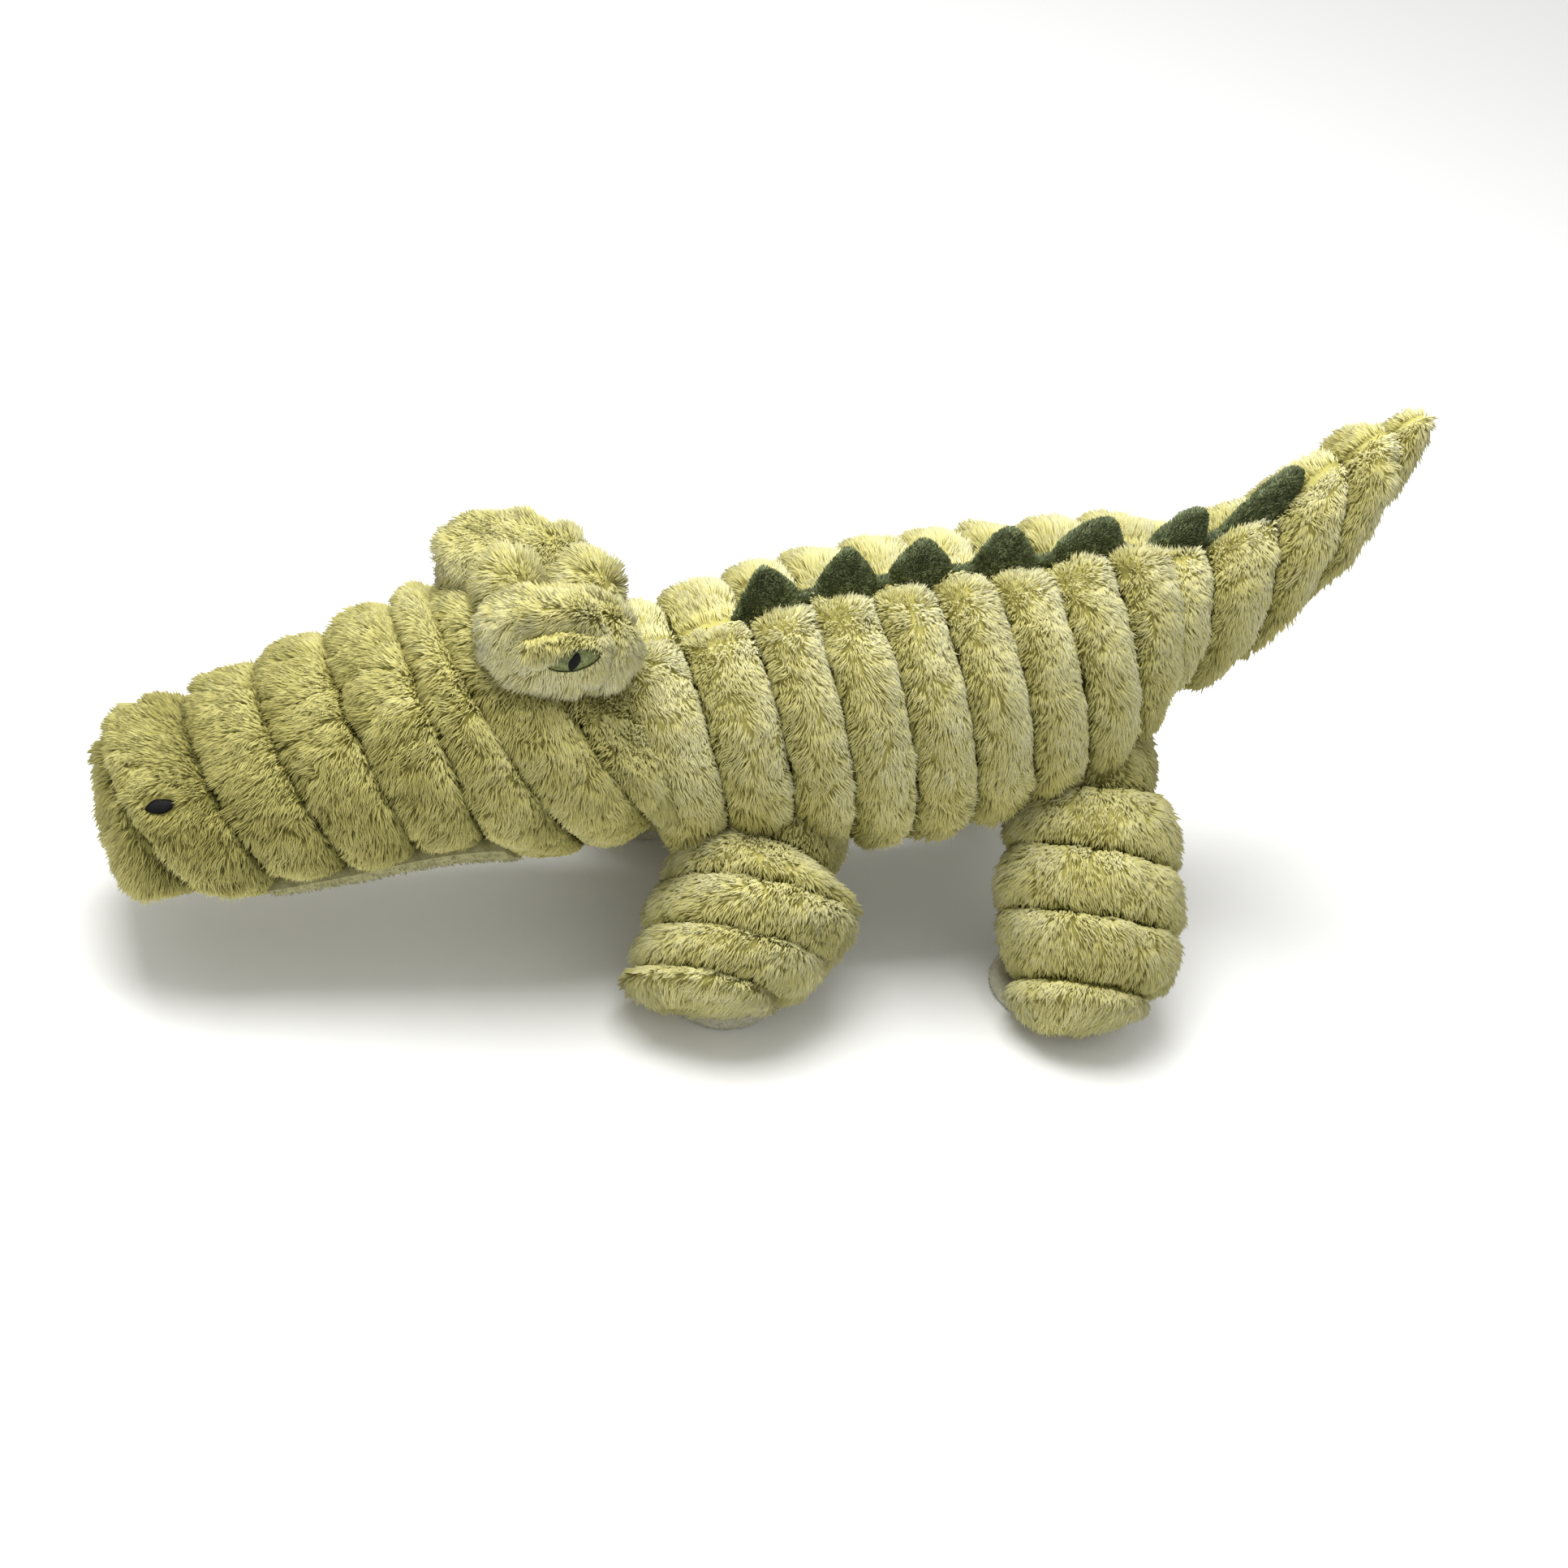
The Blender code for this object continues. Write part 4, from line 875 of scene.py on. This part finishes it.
def to_the_toes(roots):
    """Nap of a leg: light and smooth at a roll's upper edge, dark and bristling at its lower."""
    s = roots["share"]
    sweep = roots["along"] + 0.25 * roots["across"] * np.sin(roots["turn"])[:, None]
    lean = np.interp(s, (0, 0.3, 0.7, 0.9, 1), (1.3, 1.12, 1.0, 1.0, 1.25))
    # Painted light on a roll's upper edge, which faces up, and painted shade on its lower edge,
    # which faces down
    shade = np.interp(s, (0, 0.3, 0.7, 0.9, 1), (0.06, 0.05, -0.03, -0.10, -0.12))
    size = np.interp(s, (0, 0.2, 0.7, 0.9, 1), (0.6, 1, 0.95, 0.6, 0.35))
    return unit(sweep), lean, shade - seam_shadow(1 - s), size


def off_the_eye(points, side):
    """Distance from an eye's middle in shares of the patch of its stitches: 1 at its edge."""
    x, y, z = (points - bump_centre(side)).T
    a, b = 0.98 * x + EYE_SLANT * (z - EYE_RISE), 0.98 * (z - EYE_RISE) - EYE_SLANT * x
    return np.where(side * y > 0, np.hypot(a / EYE_LONG, b / EYE_HIGH), 9)


def over_the_bump(roots):
    """Nap of the eye bumps and the crown: from the ridge down, and a little forward.

    Round an eye the pile is clipped short, so that only its tips lap over the stitches.
    """
    sweep = roots["across"] * np.sin(roots["turn"])[:, None] * 0.9
    sweep[:, 0] -= 0.45
    sweep = sweep - roots["out"] * np.sum(sweep * roots["out"], 1, keepdims=True)
    near = np.minimum(off_the_eye(roots["root"], -1), off_the_eye(roots["root"], 1))
    above = smooth_step(0, 5 * MM, roots["root"][:, 2] - bump_centre(1)[2] - EYE_RISE)
    short = 0.45 + 0.3 * above
    up = roots["out"][:, 2]
    # Painted shade on the tops that face up to the light, and a little painted light on the
    # undersides
    shade = 0.06 - 0.04 * up - 0.16 * np.clip(up, 0, 1) ** 2
    size = short + (1 - short) * smooth_step(1.0, 2.2, near)
    return unit(sweep), 0.95 + 0.15 * above, shade, size


def over_the_crown(roots):
    """Nap of the crown: fluffy on its two rolls, short and darkened by painted shade in the notch
    between them.
    """
    sweep, lean, shade, size = over_the_bump(roots)
    deep = hump(np.sin(np.pi * roots["share"]), 0, 0.3)
    return sweep, lean - 0.25, shade - 0.3 * deep, size * (1 - 0.6 * deep)


# %% [markdown]
# Some places stay bare: the seams, where the thread pulls the pile in, the smooth panels under the
# belly and the jaw, the stitches, and whatever lies inside a neighbour. The strip under the jaw is
# widened to its full angle over a short way at both ends, so that its corners are round.

# %% Fur of the torso, head and tail
NOSTRIL, NOSTRIL_PITCH, NOSE_RADIUS = (6.55, np.radians(39.5)), 31 * MM, 64 * MM


def seam_gap(roots, gap=0.07):
    """Whether a root lies off the seams: the sine of the place, zero in a seam, is over the gap."""
    return off_seam(roots["place"]) > gap


def keep_torso(roots):
    """Bare: the seams, the belly panel, and what lies inside the head, tail or legs."""
    p = roots["root"]
    place = roots["place"] / TORSO_END
    good = seam_gap(roots)
    good &= ~((np.pi - roots["from_back"] < np.radians(38)) & (place > 0.392) & (place < 0.643))
    good &= ~inside_tube(p, head_rows, HEAD_END)
    good &= ~inside_tube(p, tail_rows, TAIL_END)
    for pair, side, _, _ in legs.values():
        good &= ~inside_leg(p, pair, side)
    return good


def keep_head(roots):
    """Bare: the seams, jaw panel and nostrils, and what lies inside the torso, bumps or crown."""
    p = roots["root"]
    good = seam_gap(roots, 0.06) | (roots["place"] > 7.2)
    place = roots["place"] / HEAD_END
    strip = np.radians(66) * np.clip(np.minimum(place - 0.357, 0.936 - place) / 0.06, 0, 1) ** 0.5
    good &= np.pi - roots["from_back"] > strip
    good &= ~inside_tube(p, torso_rows, TORSO_END)
    for side in (-1, 1):
        good &= ~inside_oval(p, bump_centre(side), BUMP_HALF, 7 * MM)
    along = NOSTRIL_PITCH * (roots["place"] - NOSTRIL[0])
    down = NOSE_RADIUS * (roots["from_back"] - NOSTRIL[1])
    good &= ((along + 2 * MM) / (6.5 * MM)) ** 2 + ((down + 2 * MM) / (6.5 * MM)) ** 2 > 1
    return good & ~inside_oval(p, (HEAD_TOP[0], 0, CROWN_Z), np.array((32, 26, 30)) * MM, 4 * MM)


def keep_tail(roots):
    """Bare: the seams, and what lies inside the torso."""
    good = seam_gap(roots) | (roots["place"] > 4.2)
    return good & ~inside_tube(roots["root"], torso_rows, TORSO_END)


for word, body, count, nap, seed, tone, keep, length, parts in (
        ("torso", "body", 145000, down_the_roll, 21, 0.555, keep_torso, 8 * MM, 3),
        ("head", "head", 122000, to_the_nose, 31, 0.38, keep_head, 8.5 * MM, 3),
        ("tail", "tail", 46000, down_the_tail, 41, 0.54, keep_tail, 8 * MM, 2)):
    places, grid = tubes[word]
    grow_fur(f"fur_{word}", body, grid, places, count, nap, seed, tone, keep, length, parts=parts)


# %% Fur of the legs, bumps and crown
def keep_leg(roots):
    """Bare: the seams, the underside of the foot, and what lies inside the torso."""
    p = roots["root"]
    good = seam_gap(roots) | (roots["place"] > 3.2) | (roots["place"] < 0.5)
    good &= p[:, 2] > 9 * MM
    return good & ~inside_tube(p, torso_rows, TORSO_END, 4 * MM)


for k, (name, (pair, side, places, grid)) in enumerate(legs.items()):
    # The light upper edge of each roll is the densest
    dense = (1 + 1.4 * (places[:-1] % 1 < 0.12))[:, None]
    grow_fur(f"fur_{name}", name, grid, places, 38000, to_the_toes, 51 + k, 0.47, keep_leg,
             per_roll=3, weight=dense)


def keep_bump(roots):
    """Bare: the stitches of the eye, and what lies inside the head or the other bump."""
    p = roots["root"]
    good = ~inside_tube(p, head_rows, HEAD_END) & (off_the_eye(p, side) > 1)
    return good & ~inside_oval(p, bump_centre(-side), BUMP_HALF, 4 * MM)


def keep_crown(roots):
    """Bare: the seams, and what lies inside the head."""
    return seam_gap(roots) & ~inside_tube(roots["root"], head_rows, HEAD_END)


for word, (side, q, grid) in bumps.items():
    grow_fur(f"fur_eye_bump_{word}", "head", grid, q + 1, 18000, over_the_bump, 61 + side, 0.57,
             keep_bump, per_roll=4.5)
grow_fur("fur_crown", "head", crown_grid, crown_places, 14000, over_the_crown, 71, 0.58, keep_crown,
         per_roll=3.5)


# %% [markdown]
# ## Short pile and thread
#
# The spikes, the soles and the two underside panels are velboa: a pile cut so short that it shines
# like velvet. It is drawn as a smooth padded form under a dense stubble of 2 mm strands. The eyes
# and nostrils are satin stitch: threads laid side by side, so they get fine ridges.


# %% Short pile materials
def velboa(name, dark, light, tips):
    """Short pile: mottled by 4 mm noise where it was stroked, with stubble that ends lighter as a
    painted highlight of its sheen.
    """
    base, tree, shader = new_material(name, 0.55, 0.25, 0.35, tips)
    mottle(tree, shader, 250.0, ((0.3, dark), (0.7, light)), 3.0)
    place = add_node(tree, "ShaderNodeTexCoord")
    fine = add_node(tree, "ShaderNodeTexNoise", {
        "Vector": place.outputs["Object"], "Scale": 1600.0})
    bump = add_node(tree, "ShaderNodeBump", {
        "Strength": 0.6, "Distance": 0.6 * MM, "Height": fine.outputs["Fac"]})
    tree.links.new(bump.outputs["Normal"], shader.inputs["Normal"])
    # The lighter tips of the stubble are a painted highlight of the velvet's sheen
    stops = ((0.25, dark), (0.62, light), (0.95, tips))
    return base, pile_material(f"{name}_stubble", 0.5, 0.3, 0.4, 0.0, stops)


dark_velboa = velboa("dark_green_velboa", "#262b12", "#4c552f", "#8f9a6e")
# The sage of the belly and jaw panels is the plush's own olive, darkened by painted shade of the
# underside
sage_velboa = velboa("sage_velboa", "#827e52", "#9f9b6e", "#b3af84")
pale_velboa = velboa("pale_grey_velboa", "#a9a68c", "#c3c0a8", "#d8d6c2")


def everywhere(roots):
    """Keeps every root."""
    return np.ones(len(roots["place"]), bool)


def grow_stubble(name, body, grid, places, count, sweep, seed, material, keep=everywhere,
                 length=2.2 * MM):
    """Short pile over a grid, combed one way and only a little tufted."""
    local = np.random.default_rng(seed)
    roots = scatter(grid, places, count, local, keep)
    n = len(roots["place"])
    way = np.broadcast_to(np.asarray(sweep, float), (n, 3))
    way = way + 0.5 * wander(roots["root"], 12 * MM, seed)[:, None]
    way = unit(way + local.normal(size=(n, 3)) * 0.25)
    way = unit(way - roots["out"] * np.sum(way * roots["out"], 1, keepdims=True))
    tuft = tuft_of(roots, 6, 2.5 * MM, local)
    tone = 0.42 + 0.16 * wander(roots["root"], 11 * MM, seed + 2) + local.normal(size=n) * 0.12
    long = length * local.uniform(0.7, 1.2, n)
    lean = local.normal(0.8, 0.2, n).clip(0.2, 1.3)
    width = local.uniform(0.28, 0.42, n) * MM
    gather = (tuft, np.full(n, 0.2))
    strands_object(name, body, roots, way, long, lean, tone, width, gather, material)


# %% [markdown]
# The back spikes are small padded triangles sewn into the back seam. Their sides are hollow curves
# and their tips blunt. On the tail they lean back and are fatter. A strip of the same velboa runs
# along the seam and joins their feet.


# %% Spikes
def spike_grid(rows, start, end, tall, lean, blunt):
    """Oval rings that shrink as they rise: a power for hollow sides, mixed with a round top."""
    middle = (start + end) / 2
    ends = skin_at(rows, np.array((start, middle, end)), np.zeros(3))
    base, centre = ends[2] - ends[0], ends[1]
    up = np.array((-base[2], 0, base[0])) / np.linalg.norm(base)
    level = np.sin(np.linspace(0, np.pi / 2, 26) * 0.99)[:, None]
    wide = (1 - blunt) * (1 - level) ** 1.7 + blunt * np.sqrt(1 - level ** 2)
    turn = full_turn(40)[None]
    foot_place = middle + (end - start) / 2 * wide * np.cos(turn)
    foot = skin_at(rows, foot_place, np.zeros_like(foot_place), -4.5 * MM)
    straight = centre + base / 2 * (wide * np.cos(turn))[..., None]
    hold = smooth_step(0, 0.5, level)[..., None]
    spot = foot + (straight - foot) * hold
    spot = spot + (base * lean + up * 20 * MM * tall) * level[..., None] - up * 2 * MM
    thick = np.sqrt(wide) * (0.75 + 0.25 * np.sqrt(np.clip(1 - level, 0, 1)))
    spot[..., 1] += 6.5 * MM * thick * np.sin(turn)
    return np.linspace(0, 1, 26), uneven(spot, 0.5 * MM, 14 * MM, 9)


def strip_grid(rows, start, end):
    """A thin oval tube along the back seam, which narrows at its ends."""
    places = np.linspace(start, end, 90)
    stations = skin_at(rows, places, np.zeros(90), -3.0 * MM)
    ends = np.minimum(1, np.minimum(places - start, end - places) / 0.25 + 0.05) ** 0.5
    ring = full_turn(14)
    aside, rise = np.sin(ring) * 3.2 * MM * ends[:, None], np.cos(ring) * 3.4 * MM * ends[:, None]
    around = points_of(0 * ring, aside, rise)
    return places, stations[:, None] + around


# Name, body, first and last place, height, lean and bluntness
SPIKES = (
    ("spike_1", "body", 1.80, 3.05, 1.05, -0.03, 0.40),
    ("spike_2", "body", 3.05, 4.30, 1.05, 0.03, 0.42),
    ("spike_3", "body", 4.30, 5.50, 0.92, 0.05, 0.60),
    ("spike_4", "body", 5.70, 7.00, 0.97, 0.02, 0.55),
    ("spike_5", "body", 7.05, 8.35, 0.80, 0.22, 0.65),
    ("spike_6", "tail", 0.02, 1.02, 1.00, 0.45, 0.80),
    ("spike_7", "tail", 1.12, 2.20, 0.95, 0.60, 0.80))
for k, (name, body, *shape) in enumerate(SPIKES):
    levels, grid = spike_grid(torso_rows if body == "body" else tail_rows, *shape)
    dress(closed_tube(f"plush_{name}", grid, dark_velboa[0]), body, name)
    grow_stubble(f"pile_{name}", body, grid, levels, 3800, (0.3, 0, 1.0), 81 + k,
                 dark_velboa[1])
for body, rows, start, end in (("body", torso_rows, 1.8, 8.5), ("tail", tail_rows, 0.1, 2.2)):
    places, grid = strip_grid(rows, start, end)
    dress(closed_tube(f"spike_strip_{body}", grid, dark_velboa[0]), body)
    grow_stubble(f"pile_strip_{body}", body, grid, places, 4000, (0.3, 0, 1.0), 91,
                 dark_velboa[1])
print("spikes:", len(SPIKES))


# %% [markdown]
# ## Soles and underside panels
#
# Velboa wears better than long pile, so the soles, the belly and the underside of the jaw are
# made of it. A sole is a padded disc with a rolled edge, flat where it stands. A panel is a thin
# padded strip that lies on the unquilted skin, with its edges tucked between the rolls.


# %% Soles
def off_the_floor(roots):
    """Keeps what stands above the floor."""
    return roots["root"][:, 2] > 1.6 * MM


edge = np.linspace(-np.pi / 2, np.pi / 2, 15)
out = np.concatenate([np.linspace(2, 21, 6), 22.5 + 4 * np.cos(edge), np.linspace(21, 2, 6)])
up = np.concatenate([np.zeros(6), 4.5 + 4.5 * np.sin(edge), np.full(6, 9.0)])
out, up = out[:, None] * MM, up[:, None] * MM
turn = full_turn(64)[None]
for name, (pair, side, _, _) in legs.items():
    pivot, axis, length, radius, _ = leg_frame(pair, side)
    under = np.array((0, 0, -1.0)) + axis * axis[2]
    under = under / np.linalg.norm(under)
    aside, drawn_up = (TOE_SHIFT, 0) if pair == "hind" else (4 * MM, 7 * MM)
    spot = pivot + axis * (length * 0.84 - drawn_up) + under * radius - (aside, 0, 0)
    grid = points_of(spot[0] + out * np.cos(turn), spot[1] + out * np.sin(turn), up)
    sole = name.replace("leg", "sole")
    dress(closed_tube(f"pad_{sole}", grid, pale_velboa[0]), name, sole)
    grow_stubble(f"pile_{sole}", name, grid, np.linspace(0, 1, len(out)), 2500, (0, 0, -0.3), 101,
                 pale_velboa[1], off_the_floor, 1.2 * MM)


# %% Underside panels
def panel_grid(rows, first, last, half_turn, crest):
    """A strip round the underside: flat ovals across it, raised to a share of the rolls' crests."""
    places = np.linspace(first, last, 60)
    ends = np.minimum(1, np.minimum(places - first, last - places) / 0.35 + 0.02) ** 0.5
    ring = full_turn(48)[None]
    turn = np.pi + half_turn * ends[:, None] * np.sign(np.cos(ring)) * np.abs(np.cos(ring)) ** 0.5
    height = 0.2 * MM + 2.2 * MM * np.sin(ring) * np.minimum(1, 1.2 * np.abs(np.sin(ring)))
    rise = crest * smooth_step(PANEL_HALF, PANEL_HALF + 1.5 * PANEL_SLOPE, np.abs(turn - np.pi))
    height = height + np.where(np.sin(ring) < 0, -rise, rise)
    return places, ring_at(station_at(rows, places)[:, None], turn, height)


def faces_down(roots):
    """Keeps what doesn't face up into the filling."""
    return roots["out"][:, 2] < 0.2


for name, body, rows, first, last, half, crest in (
        ("belly_panel", "body", torso_rows, 3.49, 5.83, 45, 6 * MM),
        ("jaw_panel", "head", head_rows, 2.5, 6.55, 68, 5 * MM)):
    places, grid = panel_grid(rows, first, last, np.radians(half), crest)
    dress(closed_tube(f"plush_{name}", grid, sage_velboa[0]), body, name)
    grow_stubble(f"pile_{name}", body, grid, places, 8000, (1.0, 0, 0), 111,
                 sage_velboa[1], faces_down, 1.6 * MM)
print("soles and panels done")


# %% [markdown]
# ## Embroidery
#
# Each eye is an almond of green satin stitch with a darker cord round it and a black slit. A
# nostril is a small black almond. A stitched patch is a flat oval tube laid on the skin, and
# ridges across it stand for its threads. Real threads are 0.4 mm apart; these are 0.8 mm, as
# coarse as they need to be to show.


# %% Thread materials
def thread(name, dark, light, roughness, specular=0.4):
    """Rayon thread: shiny, a little uneven in tone from thread to thread."""
    made, tree, shader = new_material(name, roughness, specular)
    mottle(tree, shader, 900.0, ((0.35, dark), (0.65, light)))
    return made


green_thread = thread("green_rayon_thread", "#494f22", "#7b8548", 0.4)
dark_thread = thread("dark_green_rayon_thread", "#1f2a12", "#3a4a20", 0.45)
black_thread = thread("black_rayon_thread", "#040405", "#0f0f10", 0.6, 0.15)
THREAD_PITCH = 0.8 * MM


def stitched(word, on_surface, length, opening, height, thick, slant, material):
    """An almond of satin stitch: flat ovals along its length, ridged across by its threads."""
    u = np.sin(np.linspace(-1, 1, 49) * np.pi / 2)[:, None] * 0.995
    ring = full_turn(40)[None]
    a = length / 2 * u + 0 * ring
    b = opening / 2 * (1 - np.abs(u) ** 1.7) ** 0.9 * np.cos(ring)
    top = thick * (1 - u ** 4) * np.sin(ring)
    across = a * math.cos(slant) + b * math.sin(slant)
    ridge = 0.12 * MM * np.abs(np.sin(np.pi * across / THREAD_PITCH))
    top = np.where(np.sin(ring) > 0, top + ridge, top * 0.4)
    patch = closed_tube(f"stitched_{word}", on_surface(a, b, height + top), material)
    dress(patch, "head", word)


# %% Eyes
def on_bump(side):
    """Point of a bump's outer side: a along the toy, b up, pushed out along the oval's normal."""
    centre, half = bump_centre(side), BUMP_HALF - 2.2 * MM

    def surface(a, b, height):
        """The almond is sewn on with its rear corner higher, so a and b are turned first."""
        a, b = a * 0.98 - b * EYE_SLANT, b * 0.98 + a * EYE_SLANT
        y = half[1] * np.sqrt(np.clip(1 - (a / half[0]) ** 2 - (b / half[2]) ** 2, 0, 1))
        normal = unit(np.stack([a / half[0] ** 2, y / half[1] ** 2, b / half[2] ** 2], -1))
        raised = np.stack([a, y, b], -1) + normal * np.asarray(height)[..., None]
        x, y, z = np.moveaxis(raised, -1, 0)
        return np.stack([centre[0] + x, centre[1] + side * y, centre[2] + 4 * MM + z], -1)
    return surface


def eye_cord(word, surface, side):
    """Cord round an almond: a thin ring of tube along its outline."""
    t = full_turn(120)
    rise = np.sin(t)
    up = 5.0 * MM * rise * np.abs(rise) ** 0.3
    path = surface(11.8 * MM * np.cos(t), up, np.full(120, 1.3 * MM))
    ring = full_turn(8)[None, :, None]
    out = unit(path - path.mean(axis=0))[:, None]
    aside = np.array((0, side, 0.0))
    grid = path[:, None] + 0.42 * MM * (np.cos(ring) * out + np.sin(ring) * aside)
    i, j = np.meshgrid(np.arange(120), np.arange(8), indexing="ij")
    n, m = (i + 1) % 120, (j + 1) % 8
    quads = np.stack([i * 8 + j, i * 8 + m, n * 8 + m, n * 8 + j], -1).reshape(-1, 4)
    cord = new_object(f"eye_cord_{word}", grid, quads if side < 0 else quads[:, ::-1], dark_thread)
    dress(cord, "head")


for side, word in ((-1, "left"), (1, "right")):
    surface = on_bump(side)

    def slit(a, b, height):
        """The pupil stands across the almond and leans forward at the top."""
        return surface(b + a * 0.35, a, height)
    stitched(f"eye_{word}", surface, 23 * MM, 10 * MM, 0.9 * MM, 0.9 * MM, 1.2, green_thread)
    stitched(f"pupil_{word}", slit, 8.8 * MM, 5.0 * MM, 1.8 * MM, 0.7 * MM, 0.2, black_thread)
    eye_cord(word, surface, side)

# %% Nostrils
for side, word in ((-1, "left"), (1, "right")):
    def on_nose(a, b, height):
        """Along the nose roll, and round it from the nostril's turn."""
        place = NOSTRIL[0] + a / NOSTRIL_PITCH
        return skin_at(head_rows[:-1], place, side * (NOSTRIL[1] + b / NOSE_RADIUS), height)
    stitched(f"nostril_{word}", on_nose, 11.5 * MM, 9 * MM, -1.8 * MM, 1.6 * MM, 0.9, black_thread)
print("embroidery done")


# %% [markdown]
# ## Squeaker
#
# The squeaker is blown polyethylene, milky and matt, and sits unseen in the belly. Its solids are
# right as they are, so they only get their plastic.

# %% Squeaker plastic
milky, tree, shader = new_material("blown_polyethylene", 0.45, 0.5)
mottle(tree, shader, 120.0, ((0.3, "#dcdcd6"), (0.7, "#ecece8")))
for name in ("squeaker_bulb", "squeaker_reed"):
    for material_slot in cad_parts[name].material_slots:
        material_slot.material = milky
print("squeaker dressed")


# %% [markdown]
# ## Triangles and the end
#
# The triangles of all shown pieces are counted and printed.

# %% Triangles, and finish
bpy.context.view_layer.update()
meshes = [piece.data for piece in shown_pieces() if piece.type == "MESH"]
print("triangles", sum(len(mesh.loops) - 2 * len(mesh.polygons) for mesh in meshes))
